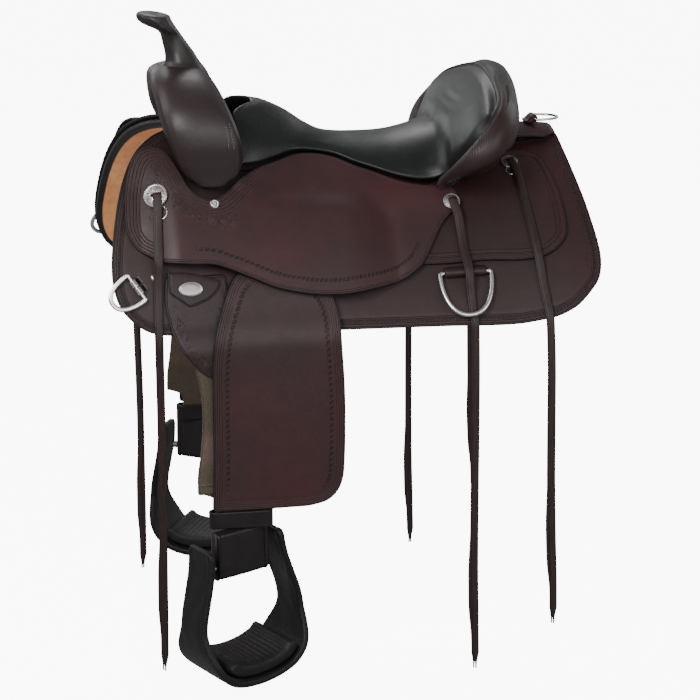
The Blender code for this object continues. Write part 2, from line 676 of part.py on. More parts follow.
_fr = smooth_fn([-0.431, -0.4285, -0.423, -0.414, -0.400, -0.378, -0.306, -0.249, -0.193, -0.150, -0.124, -0.106, -0.088, -0.070, -0.050, 0.020],
                [-0.103, -0.0870, -0.0735, -0.0630, -0.0550, -0.0508, -0.049, -0.050, -0.0535, -0.0560, -0.064, -0.078, -0.092, -0.104, -0.113, -0.120])
FROWS = [FEND_TOP_Z, -0.010, -0.030, -0.050, -0.070, -0.088, -0.105, -0.122, -0.140, -0.158, -0.176, -0.194, -0.214,
         -0.240, -0.275, -0.310, -0.345, -0.375, -0.395, -0.410, -0.420, -0.427, FENDER_LOW_Z]


def fender_fn(side):
    rows = smooth_fn([i / (len(FROWS) - 1) for i in range(len(FROWS))], FROWS)

    def f(u, v):
        k = int(round(v * (len(FROWS) - 1)))
        z = FROWS[k]
        xl, xr = _fl(z), _fr(z)
        return Vector((xl + (xr - xl) * u, side * _fend_y(z), z))
    return f


_sl = smooth_fn([-0.4560, -0.420, -0.414, -0.405, -0.384, -0.340, -0.298, -0.261, -0.222],
                [-0.236, -0.236, -0.240, -0.261, -0.261, -0.255, -0.252, -0.2535, -0.2610])
SROWS = [-0.222, -0.245, -0.270, -0.300, -0.330, -0.360, -0.385, -0.404, -0.414, -0.430, -0.456]


def strap_fn(side):
    def f(u, v):
        z = SROWS[int(round(v * (len(SROWS) - 1)))]
        xl = -0.2610 if -0.405 <= z < -0.384 else _sl(z)
        xr = -0.166 if z > -0.41 else -0.162
        return Vector((xl + (xr - xl) * u, side * STRAP_Y, z))
    return f


def out_y(side):
    return lambda p: Vector((0, side, 0))


def on_skirt(x, s, w, side, direction):
    """Frame on the skirt: local y along `direction` (dx, ds) reversed, z outwards."""
    p = back(x, s, w, side)
    dx, ds = direction
    h = 0.01
    e2 = (back(x + dx * h, s + ds * h, w, side) - p).normalized()
    n = back_normal(x, s, side)
    return p, e2, n


def dee_frame(x, s, w0, w1, side, direction, reach):
    """Frame of a dee whose bar is at (x, s): local -y runs along direction."""
    p0 = back(x, s, w0, side)
    dx, ds = direction
    p1 = back(x + dx * reach, s + ds * reach, w1, side)
    ey = (p0 - p1).normalized()
    n = back_normal(x, s, side)
    ex = ey.cross(n).normalized()
    m = Matrix.Identity(4)
    ez = ex.cross(ey).normalized()
    for i in range(3):
        m[i][0], m[i][1], m[i][2], m[i][3] = ex[i], ey[i], ez[i], p0[i]
    return m


def tab_matrix(m, side):
    """Section plane of the tab: its x points down the dee, its z along the bar."""
    ex = Vector((m[0][0], m[1][0], m[2][0]))
    ey = Vector((m[0][1], m[1][1], m[2][1]))
    ez = Vector((m[0][2], m[1][2], m[2][2]))
    o = Vector((m[0][3], m[1][3], m[2][3]))
    return frame_matrix(o, -ey, ez)


RING_N = 24

for tag, side in SIDES:
    grid_object("rigging_leather_" + tag, rigging_fn(side), 4, 9, out_y(side), RIGGING_T, BROWN, 0.4)
    grid_object("fender_" + tag, fender_fn(side), 5, len(FROWS) - 1, out_y(side), FENDER_T, BROWN, 0.35)
    grid_object("stirrup_strap_" + tag, strap_fn(side), 3, len(SROWS) - 1, out_y(side), STRAP_T, WEB, 0.9)

    # oval badge plate, left plain
    xb, sb = -0.2625, 0.296
    pb = back(xb, sb, 0.0088, side)
    nb = back_normal(xb, sb, side)
    ell = [(0.0172 * math.cos(2 * math.pi * i / 32), 0.0102 * math.sin(2 * math.pi * i / 32)) for i in range(32)]
    exb = Vector((1, 0, 0)) - nb * nb.x
    flat_outline("rigging_badge_" + tag, [ell], 0.0008,
                 frame_matrix(pb, exb, nb.cross(exb)), SILVER, 0.3, 1.0)

    # flank dee and its folded leather tab
    mf = dee_frame(0.1315, 0.2440, 0.0068, 0.0135, side, (0.0, 1.0), 0.065)
    flat_outline("flank_dee_" + tag, dee_loops(0.0405, 0.0690, 0.0072, 0.0028), 0.0021, mf, SILVER, 0.22, 1.0)
    flat_outline("flank_dee_tab_" + tag, loop_tab(0.0110, 0.0040, 0.0022, 0.0022), 0.0300,
                 tab_matrix(mf, side), BROWN, 0.5)

    # breast collar dee and its metal clip, at the front edge
    mb = dee_frame(-0.3380, 0.3120, 0.0064, 0.0050, side, (-0.74, 0.67), 0.040)
    flat_outline("breast_dee_" + tag, dee_loops(0.0245, 0.0440, 0.0062, 0.0026), 0.0020, mb, SILVER, 0.28, 1.0)
    flat_outline("breast_dee_clip_" + tag, loop_tab(0.0120, 0.0038, 0.0016, 0.0016), 0.0120,
                 tab_matrix(mb, side), SILVER, 0.25, 1.0)

    # hobble strap: a flat ring round the strap, just below the fender
    def race(hx, hy, n=10):
        pts = []
        r = hy
        for cx, a0 in ((hx - r, -90), (-(hx - r), 90)):
            pts += circle(cx, 0, r, n, a0, a0 + 180)
        return pts
    hm = Matrix.Translation((STIRRUP_X, side * HOBBLE_Y, -0.4460))
    flat_outline("hobble_strap_" + tag, [race(0.0465, 0.0100), list(reversed(race(0.0420, 0.0062)))],
                 0.0125, hm, BROWN, 0.4)

    # directions of the turned stirrup: b along its bar, q across its tread
    b = Vector((math.cos(STIRRUP_TURN), -side * math.sin(STIRRUP_TURN), 0))
    q = Vector((-math.sin(STIRRUP_TURN), -side * math.cos(STIRRUP_TURN), 0))
    axis = Vector((STIRRUP_X, side * STIRRUP_Y, 0))

    # neck: leather loop that hangs the stirrup on its pin
    neck_outer = [(0.0085, -0.4610), (0.0095, -0.490)] + \
        [(0.0105 * math.cos(math.radians(a)), -0.5195 + 0.0105 * math.sin(math.radians(a)))
         for a in range(0, -181, -18)] + [(-0.0095, -0.490), (-0.0085, -0.4610)]
    neck_hole = [(0.0062 * math.cos(2 * math.pi * i / 16), NECK_PIN_Z + 0.0062 * math.sin(2 * math.pi * i / 16))
                 for i in range(16)]
    nm = frame_matrix(axis + b * (0.5 * STIRRUP_PLAY), q, (0, 0, 1))
    flat_outline("stirrup_neck_" + tag, [neck_outer, neck_hole], 0.0440, nm, BLACK, 0.35)
    bpy.ops.mesh.primitive_cylinder_add(vertices=24, radius=0.0055, depth=0.0990, end_fill_type="NGON")
    pin = bpy.context.active_object
    for c in list(pin.users_collection):
        c.objects.unlink(pin)
    parts.objects.link(pin)
    pin.matrix_world = frame_matrix(axis + b * STIRRUP_PLAY + Vector((0, 0, NECK_PIN_Z)), q, (0, 0, 1))
    finish(pin, "neck_pin_" + tag, SILVER, 0.3, 1.0)

    # stirrup frame: a flat strap bent into a U, wider at the tread
    U = [(-0.0597, 0.0395), (-0.0612, 0.0240), (-0.0645, 0.0020), (-0.0740, -0.0330), (-0.0820, -0.0620),
         (-0.0850, -0.0890), (-0.0825, -0.1150), (-0.0710, -0.1410), (-0.0480, -0.1610), (0.0, -0.1690)]
    U = U + [(-a, c) for a, c in reversed(U[:-1])]
    cl, sl = math.cos(STIRRUP_LEAN), math.sin(STIRRUP_LEAN)
    U = [(a + STIRRUP_PLAY, c) for a, c in U]
    U = [(a * cl - c * sl, NECK_PIN_Z + a * sl + c * cl) for a, c in U]
    uf = path_fn(U)
    nseg = 30
    rings = []
    for i in range(nseg + 1):
        t = i / nseg
        a, c = uf(t)
        a2, c2 = uf(min(t + 0.005, 1)); a1, c1 = uf(max(t - 0.005, 0))
        tx, tz = a2 - a1, c2 - c1
        ln = math.hypot(tx, tz)
        nx, nz = -tz / ln, tx / ln
        low = step(0.590, 0.655, -c)
        hd = 0.0290 + 0.0230 * low
        ht = 0.0048 + 0.0010 * low
        ctr = axis + b * a + Vector((0, 0, c))
        nn = b * nx + Vector((0, 0, nz))
        ring = [ctr + q * hd + nn * ht * 0.6, ctr + q * (hd - 0.002) + nn * ht,
                ctr - q * (hd - 0.002) + nn * ht, ctr - q * hd + nn * ht * 0.6,
                ctr - q * hd - nn * ht * 0.6, ctr - q * (hd - 0.002) - nn * ht,
                ctr + q * (hd - 0.002) - nn * ht, ctr + q * hd - nn * ht * 0.6]
        rings.append(ring)
    loft("stirrup_frame_" + tag, rings, BLACK, 0.4)

    # tread pad, on the inside of the lower bend
    rings = []
    for i in range(17):
        t = 0.355 + 0.29 * i / 16
        a, c = uf(t)
        a2, c2 = uf(t + 0.005); a1, c1 = uf(t - 0.005)
        tx, tz = a2 - a1, c2 - c1
        ln = math.hypot(tx, tz)
        nx, nz = -tz / ln, tx / ln
        ctr = axis + b * a + Vector((0, 0, c))
        nn = b * nx + Vector((0, 0, nz))
        low = step(0.590, 0.655, -c)
        lo, hi = 0.0048 + 0.0010 * low + 0.0024, 0.0310
        e = 0.0490 * (0.80 + 0.20 * low)
        rings.append([ctr + q * e + nn * lo, ctr + q * e + nn * (hi - 0.003), ctr + q * (e - 0.005) + nn * hi,
                      ctr - q * (e - 0.005) + nn * hi, ctr - q * e + nn * (hi - 0.003), ctr - q * e + nn * lo])
    loft("stirrup_tread_" + tag, rings, BLACK, 0.6)

# ----------------------------------------------------------------------------
# Conchos: turned discs
# ----------------------------------------------------------------------------
def on_layer(x, s, w_fn, side):
    """Point and outward normal on a layer whose height is w_fn(x, s)."""
    h = 0.006
    p = back(x, s, w_fn(x, s), side)
    a = back(x + h, s, w_fn(x + h, s), side) - back(x - h, s, w_fn(x - h, s), side)
    b = back(x, s + h, w_fn(x, s + h), side) - back(x, s - h, w_fn(x, s - h), side)
    n = a.cross(b).normalized()
    if n.y * side < 0:
        n = -n
    return p, n


def concho(name, x, s, w_fn, lift, r, side):
    prof = [(0.0, 0.0048), (r * 0.35, 0.0044), (r * 0.70, 0.0034), (r * 0.94, 0.0018), (r, 0.0008), (r, 0.0),
            (0.0, 0.0)]
    me = bpy.data.meshes.new(name)
    me.from_pydata([(a, 0, c) for a, c in prof], [(i, i + 1) for i in range(len(prof) - 1)], [])
    ob = bpy.data.objects.new(name, me)
    parts.objects.link(ob)
    p, n = on_layer(x, s, w_fn, side)
    p = p + n * lift
    ex = Vector((1, 0, 0)) - n * n.x
    ob.matrix_world = frame_matrix(p, ex, n.cross(ex))
    finish(ob, name, SILVER, 0.25, 1.0)
    sc = ob.modifiers.new("turn", "SCREW")
    sc.steps = sc.render_steps = 22
    sc.use_merge_vertices = True
    sc.merge_threshold = 0.00001
    sc.axis = "Z"
    return ob


for tag, side in SIDES:
    concho("concho_front_" + tag, -0.303, 0.178, lambda x, s: jockey_w(x, s) + JOCKEY_T, 0.0028, CONCHO_R_FRONT, side)
    concho("concho_mid_" + tag, 0.1250, 0.134, lambda x, s: jockey_w(x, s) + JOCKEY_T, 0.0016, CONCHO_R_REAR, side)
    concho("concho_rear_" + tag, 0.2240, 0.066, lambda x, s: 0.0056, 0.0014, CONCHO_R_REAR, side)


# ----------------------------------------------------------------------------
# Saddle strings
# ----------------------------------------------------------------------------
def string_points(seq, side):
    out = []
    for p in seq:
        if p[0] == "on":
            q = back(p[1], p[2], p[3], side)
            out.append((q.x, q.y, q.z))
        else:
            out.append((p[1], side * p[2], p[3]))
    return out


def jw(x, s, over):
    return jockey_w(x, s) + JOCKEY_T + over


FRONT_UP = [("on", -0.3030, 0.2020, jw(-0.303, 0.202, 0.0050)), ("on", -0.3045, 0.222, jw(-0.3045, 0.222, 0.0048)),
            ("on", -0.3055, 0.248, jw(-0.3055, 0.248, 0.0048)), ("on", -0.3065, 0.272, jw(-0.3065, 0.268, 0.0046)),
            ("on", -0.3075, 0.292, 0.0120), ("on", -0.3085, 0.312, 0.0066), ("on", -0.3095, 0.340, 0.0046),
            ("on", -0.3100, 0.366, 0.0044)]
FRONT_LOW = [("at", -0.3100, 0.2355, -0.1820), ("at", -0.3098, 0.2310, -0.2200), ("at", -0.3092, 0.2240, -0.2800),
             ("at", -0.3088, 0.2170, -0.3450), ("at", -0.3086, 0.2105, -0.4100), ("at", -0.3090, 0.2060, -0.4700),
             ("at", -0.3096, 0.2035, -0.5300), ("at", -0.3102, 0.2020, -0.6000), ("at", -0.3108, 0.2010, -0.6980)]
MID = [("on", 0.1305, 0.158, 0.0190), ("on", 0.1315, 0.178, 0.0130), ("on", 0.1325, 0.205, 0.0115),
       ("on", 0.1335, 0.226, 0.0150), ("on", 0.1345, 0.244, 0.0185), ("on", 0.1350, 0.258, 0.0150),
       ("on", 0.1360, 0.273, 0.0080), ("on", 0.1368, 0.288, 0.0046), ("on", 0.1375, 0.305, 0.0043),
       ("on", 0.1385, 0.3180, 0.0046), ("at", 0.1390, 0.2525, -0.1960), ("at", 0.1395, 0.2545, -0.2400),
       ("at", 0.1400, 0.2550, -0.3200), ("at", 0.1405, 0.2550, -0.4300), ("at", 0.1415, 0.2550, -0.5400),
       ("at", 0.1440, 0.2550, -0.6300), ("at", 0.1465, 0.2550, -0.7040)]
REAR = [("on", 0.2285, 0.084, 0.0130), ("on", 0.2300, 0.105, 0.0105), ("on", 0.2320, 0.150, 0.0104),
        ("on", 0.2350, 0.200, 0.0104), ("on", 0.2370, 0.230, 0.0104), ("on", 0.2385, 0.252, 0.0070),
        ("on", 0.2400, 0.275, 0.0044), ("on", 0.2420, 0.300, 0.0042), ("on", 0.2440, 0.328, 0.0046),
        ("at", 0.2452, 0.2690, -0.1950), ("at", 0.2465, 0.2720, -0.2400), ("at", 0.2480, 0.2725, -0.3200),
        ("at", 0.2500, 0.2725, -0.4100), ("at", 0.2535, 0.2725, -0.5000), ("at", 0.2570, 0.2725, -0.5700),
        ("at", 0.2590, 0.2725, -0.6320)]

for tag, side in SIDES:
    cord("string_front_upper_" + tag, string_points(FRONT_UP, side))
    cord("string_front_lower_" + tag, string_points(FRONT_LOW, side))
    cord("string_mid_" + tag, string_points(MID, side))
    cord("string_rear_" + tag, string_points(REAR, side))

# ----------------------------------------------------------------------------
# Moving pieces hang from an empty on their joint's axis
# ----------------------------------------------------------------------------
def pivot(name, location, pieces):
    e = bpy.data.objects.new(name, None)
    e.empty_display_size = 0.03
    e.location = location
    parts.objects.link(e)
    bpy.context.view_layer.update()
    for piece in pieces:
        ob = bpy.data.objects[piece]
        ob.parent = e
        ob.matrix_parent_inverse = e.matrix_world.inverted()


for tag, side in SIDES:
    pivot("pivot_fender_" + tag, (PIVOT_X, side * 0.150, PIVOT_Z),
          ["fender_" + tag, "stirrup_strap_" + tag, "hobble_strap_" + tag])
    pivot("pivot_stirrup_turn_" + tag, (STIRRUP_X, side * STIRRUP_Y, -0.4590),
          ["stirrup_neck_" + tag, "neck_pin_" + tag])
    pivot("pivot_stirrup_" + tag, (STIRRUP_X, side * STIRRUP_Y, NECK_PIN_Z),
          ["stirrup_frame_" + tag, "stirrup_tread_" + tag])
    pivot("pivot_string_front_" + tag, (-0.3100, side * 0.2355, -0.1800), ["string_front_lower_" + tag])
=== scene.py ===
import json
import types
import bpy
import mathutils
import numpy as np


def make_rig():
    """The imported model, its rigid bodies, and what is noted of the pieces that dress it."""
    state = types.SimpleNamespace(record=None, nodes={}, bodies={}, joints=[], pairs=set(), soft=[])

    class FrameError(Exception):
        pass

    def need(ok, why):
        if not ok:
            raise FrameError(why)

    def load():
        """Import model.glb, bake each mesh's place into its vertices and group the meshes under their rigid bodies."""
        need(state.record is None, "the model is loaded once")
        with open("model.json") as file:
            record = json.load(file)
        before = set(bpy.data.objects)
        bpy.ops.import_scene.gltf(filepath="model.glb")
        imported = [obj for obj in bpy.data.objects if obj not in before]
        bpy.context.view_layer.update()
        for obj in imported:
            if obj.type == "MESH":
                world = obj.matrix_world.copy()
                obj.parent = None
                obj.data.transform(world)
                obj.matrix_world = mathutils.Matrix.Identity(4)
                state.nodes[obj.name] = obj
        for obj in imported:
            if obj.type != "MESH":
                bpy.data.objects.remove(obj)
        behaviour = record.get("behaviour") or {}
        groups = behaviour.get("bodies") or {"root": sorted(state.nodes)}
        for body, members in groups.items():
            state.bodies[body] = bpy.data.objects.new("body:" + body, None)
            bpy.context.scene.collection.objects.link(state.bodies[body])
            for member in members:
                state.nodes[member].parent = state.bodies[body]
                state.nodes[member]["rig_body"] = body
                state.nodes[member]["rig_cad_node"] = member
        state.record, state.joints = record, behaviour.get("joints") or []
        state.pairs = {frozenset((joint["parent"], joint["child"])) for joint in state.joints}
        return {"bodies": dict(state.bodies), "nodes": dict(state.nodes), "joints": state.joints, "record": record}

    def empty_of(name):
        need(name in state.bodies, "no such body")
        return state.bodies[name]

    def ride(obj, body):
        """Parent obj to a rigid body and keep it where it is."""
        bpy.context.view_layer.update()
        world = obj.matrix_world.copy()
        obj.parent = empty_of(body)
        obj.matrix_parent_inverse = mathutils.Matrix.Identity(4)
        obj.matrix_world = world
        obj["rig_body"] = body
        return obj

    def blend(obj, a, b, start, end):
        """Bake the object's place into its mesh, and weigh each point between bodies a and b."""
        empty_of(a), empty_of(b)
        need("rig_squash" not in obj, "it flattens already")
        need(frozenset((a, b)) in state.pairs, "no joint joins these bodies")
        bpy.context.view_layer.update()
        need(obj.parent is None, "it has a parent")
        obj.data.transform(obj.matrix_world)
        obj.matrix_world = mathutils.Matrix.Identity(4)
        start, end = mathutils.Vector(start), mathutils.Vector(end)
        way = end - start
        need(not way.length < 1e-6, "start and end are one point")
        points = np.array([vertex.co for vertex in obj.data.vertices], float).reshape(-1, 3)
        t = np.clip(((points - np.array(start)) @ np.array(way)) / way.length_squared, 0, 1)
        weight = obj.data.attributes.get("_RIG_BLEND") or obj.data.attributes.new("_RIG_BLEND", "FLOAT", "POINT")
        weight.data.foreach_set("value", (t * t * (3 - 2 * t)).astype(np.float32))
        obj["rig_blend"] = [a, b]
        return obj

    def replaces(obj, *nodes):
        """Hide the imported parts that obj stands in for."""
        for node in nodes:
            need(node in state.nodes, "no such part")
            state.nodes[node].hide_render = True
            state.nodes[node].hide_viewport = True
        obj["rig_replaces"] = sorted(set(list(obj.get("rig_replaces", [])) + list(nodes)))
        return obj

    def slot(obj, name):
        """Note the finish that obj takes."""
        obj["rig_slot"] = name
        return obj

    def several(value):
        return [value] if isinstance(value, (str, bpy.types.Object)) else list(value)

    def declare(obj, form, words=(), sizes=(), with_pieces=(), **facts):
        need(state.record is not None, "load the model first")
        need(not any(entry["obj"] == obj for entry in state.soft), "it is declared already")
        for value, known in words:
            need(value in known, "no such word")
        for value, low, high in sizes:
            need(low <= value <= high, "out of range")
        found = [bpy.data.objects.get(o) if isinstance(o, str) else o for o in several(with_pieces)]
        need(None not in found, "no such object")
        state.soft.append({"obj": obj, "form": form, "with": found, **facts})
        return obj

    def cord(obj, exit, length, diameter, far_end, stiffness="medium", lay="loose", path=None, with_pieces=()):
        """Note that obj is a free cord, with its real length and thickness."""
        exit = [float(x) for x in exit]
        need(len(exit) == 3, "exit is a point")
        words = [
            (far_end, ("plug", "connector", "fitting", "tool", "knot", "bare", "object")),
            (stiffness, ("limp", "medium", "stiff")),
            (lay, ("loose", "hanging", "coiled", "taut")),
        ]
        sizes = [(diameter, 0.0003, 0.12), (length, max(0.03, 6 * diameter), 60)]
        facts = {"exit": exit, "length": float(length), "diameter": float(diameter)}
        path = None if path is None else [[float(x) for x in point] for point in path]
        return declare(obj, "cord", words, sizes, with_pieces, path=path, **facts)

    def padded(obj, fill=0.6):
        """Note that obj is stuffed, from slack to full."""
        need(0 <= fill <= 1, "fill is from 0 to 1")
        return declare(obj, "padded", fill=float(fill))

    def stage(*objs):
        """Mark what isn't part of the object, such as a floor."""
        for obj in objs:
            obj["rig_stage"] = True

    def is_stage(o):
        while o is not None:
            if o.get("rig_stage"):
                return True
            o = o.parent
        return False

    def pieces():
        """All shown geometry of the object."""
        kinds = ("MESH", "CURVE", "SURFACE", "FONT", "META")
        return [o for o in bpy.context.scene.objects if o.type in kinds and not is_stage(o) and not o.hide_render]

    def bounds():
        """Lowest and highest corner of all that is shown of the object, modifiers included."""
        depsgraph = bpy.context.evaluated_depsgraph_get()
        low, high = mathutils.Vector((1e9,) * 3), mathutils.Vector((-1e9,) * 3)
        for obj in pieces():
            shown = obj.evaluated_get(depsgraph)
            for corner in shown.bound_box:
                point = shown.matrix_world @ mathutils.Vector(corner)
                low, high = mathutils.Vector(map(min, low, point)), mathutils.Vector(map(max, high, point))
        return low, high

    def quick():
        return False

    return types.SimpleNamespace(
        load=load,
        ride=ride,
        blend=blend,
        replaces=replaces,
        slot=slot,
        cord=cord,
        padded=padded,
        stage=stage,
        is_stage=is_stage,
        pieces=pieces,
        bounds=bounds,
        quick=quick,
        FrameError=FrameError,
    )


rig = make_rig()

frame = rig.load()

# Western trail saddle: the looks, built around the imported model.
# Everything is in metres in the frame's own axes: head of the horse towards -X,
# near (left) side towards -Y, +Z up.  Side pieces are made for the near side
# and mirrored to the off side.
import bpy
import bmesh
import json
import math
import numpy as np
from mathutils import Vector, Matrix, kdtree
from mathutils.geometry import delaunay_2d_cdt

cad_box = [list(c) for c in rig.bounds()]
scene = bpy.context.scene

# ----------------------------------------------------------------------------
# Camera
# ----------------------------------------------------------------------------
CAM_A, CAM_E, CAM_D = math.radians(-9.5), math.radians(17.0), 3.5
LOOK = Vector((0.0, 0.0, -0.279))
back_dir = Vector((math.sin(CAM_A) * math.cos(CAM_E), -math.cos(CAM_A) * math.cos(CAM_E), math.sin(CAM_E)))
cam = bpy.data.objects.new("camera", bpy.data.cameras.new("camera"))
scene.collection.objects.link(cam)
cam.data.sensor_width = 36.0
cam.data.lens = 117.67
cam.location = LOOK + back_dir * CAM_D
cam.rotation_mode = "QUATERNION"
cam.rotation_quaternion = (-back_dir).to_track_quat("-Z", "Y")
scene.camera = cam

# ----------------------------------------------------------------------------
# The same driving dimensions and surface as the model
# ----------------------------------------------------------------------------
HALF_GAP = 0.020
SKIRT_EDGE_Z = -0.175
JOCKEY_T = 0.0045
PAD_T = 0.0065
PIVOT_X = -0.135
HANG_Y = 0.2570
STRAP_Y = 0.2455
STIRRUP_X = -0.200
STIRRUP_Y = 0.2500
HOBBLE_Y = 0.2475
RIGGING_HANG_Y = 0.2500
TURN = math.radians(28.0)
LEAN = math.radians(4.5)
PLAY = -0.006
PIN_Z = -0.512
FENDER_LOW_Z = -0.431


def smooth_fn(xs, ys):
    xs, ys = np.array(xs, float), np.array(ys, float)
    m = np.empty_like(ys)
    m[0] = (ys[1] - ys[0]) / (xs[1] - xs[0])
    m[-1] = (ys[-1] - ys[-2]) / (xs[-1] - xs[-2])
    m[1:-1] = (ys[2:] - ys[:-2]) / (xs[2:] - xs[:-2])

    def f(x):
        x = np.asarray(x, float)
        i = np.clip(np.searchsorted(xs, x, side="left") - 1, 0, len(xs) - 2)
        h = xs[i + 1] - xs[i]
        t = np.clip((x - xs[i]) / h, -0.2, 1.2)
        return ((2 * t ** 3 - 3 * t ** 2 + 1) * ys[i] + (t ** 3 - 2 * t ** 2 + t) * h * m[i]
                + (-2 * t ** 3 + 3 * t ** 2) * ys[i + 1] + (t ** 3 - t ** 2) * h * m[i + 1])
    return f


def step(a, b, x):
    t = np.clip((np.asarray(x, float) - a) / (b - a), 0.0, 1.0)
    return t * t * (3 - 2 * t)


def path_fn(points):
    P = np.array(points, float)
    ln = np.concatenate([[0.0], np.cumsum(np.linalg.norm(np.diff(P, axis=0), axis=1))])
    ts = ln / ln[-1]
    fs = [smooth_fn(ts, P[:, k]) for k in range(P.shape[1])]

    def f(t):
        return np.stack([g(t) for g in fs], -1)
    f.length = ln[-1]
    return f


_X = [-0.36, -0.30, -0.20, -0.10, 0.0, 0.10, 0.20, 0.30, 0.42]
_z0 = smooth_fn(_X, [0.140, 0.122, 0.082, 0.056, 0.045, 0.042, 0.046, 0.056, 0.066])
_p0 = smooth_fn(_X, [36, 34, 30, 27, 25, 24, 23, 22, 22])
_p1 = smooth_fn(_X, [76, 75, 71, 67, 65, 64, 63, 62, 62])


def arc(x):
    z0 = _z0(x)
    p0, p1 = np.radians(_p0(x)), np.radians(_p1(x))
    return z0, p0, p1, (z0 - SKIRT_EDGE_Z) / (np.cos(p0) - np.cos(p1))


def back(x, s, w):
    """Near-side point at x along the horse, s down the leather, w over it."""
    x, s, w = np.broadcast_arrays(np.asarray(x, float), np.asarray(s, float), np.asarray(w, float))
    z0, p0, p1, r = arc(x)
    p = p0 + s / r
    y = HALF_GAP + (r + w) * np.sin(p) - r * np.sin(p0)
    z = z0 + (r + w) * np.cos(p) - r * np.cos(p0)
    return np.stack([x, -y, z], -1)


def back_y(x, z, w):
    z0, p0, p1, r = arc(x)
    c = (z - z0 + r * np.cos(p0)) / (r + w)
    return HALF_GAP - r * np.sin(p0) + (r + w) * np.sqrt(np.maximum(1 - c * c, 0.0))


def back_z(x, y, w):
    z0, p0, p1, r = arc(x)
    sp = (y - HALF_GAP + r * np.sin(p0)) / (r + w)
    return z0 - r * np.cos(p0) + (r + w) * np.sqrt(np.maximum(1 - sp * sp, 0.0))


def back_normal(x, s):
    h = 1e-3
    a = back(x + h, s, 0) - back(x - h, s, 0)
    b = back(x, s + h, 0) - back(x, s - h, 0)
    n = np.cross(a, b)
    n = n / np.linalg.norm(n)
    if n[2] < 0 and abs(n[2]) > 1e-3:
        n = -n
    if n[1] > 0:
        n = -n
    return n


def jockey_w(x, s):
    over_bars = 12.2 * (1 - step(0.105, 0.185, s))
    over_fender = 24.0 * step(-0.335, -0.272, x) * (1 - step(-0.035, 0.055, x)) * step(0.078, 0.155, s)
    over_rear = 1.0 + 5.6 * step(0.015, 0.055, x)
    return (over_bars ** 4 + over_fender ** 4 + over_rear ** 4) ** 0.25 * 0.001


def on_layer(x, s, w_fn):
    h = 0.006
    p = back(x, s, w_fn(x, s))
    a = back(x + h, s, w_fn(x + h, s)) - back(x - h, s, w_fn(x - h, s))
    b = back(x, s + h, w_fn(x, s + h)) - back(x, s - h, w_fn(x, s - h))
    n = np.cross(a, b)
    n = n / np.linalg.norm(n)
    return p, (n if n[1] < 0 else -n)


def unit(v):
    v = np.asarray(v, float)
    return v / np.linalg.norm(v)


def s_at(x, z, w_fn):
    """How far down the leather the layer w_fn is at the height z."""
    ss = np.linspace(0.01, 0.40, 400)
    zz = back(np.full_like(ss, x), ss, w_fn(np.full_like(ss, x), ss))[:, 2]
    return float(ss[np.argmin(np.abs(zz - z))])


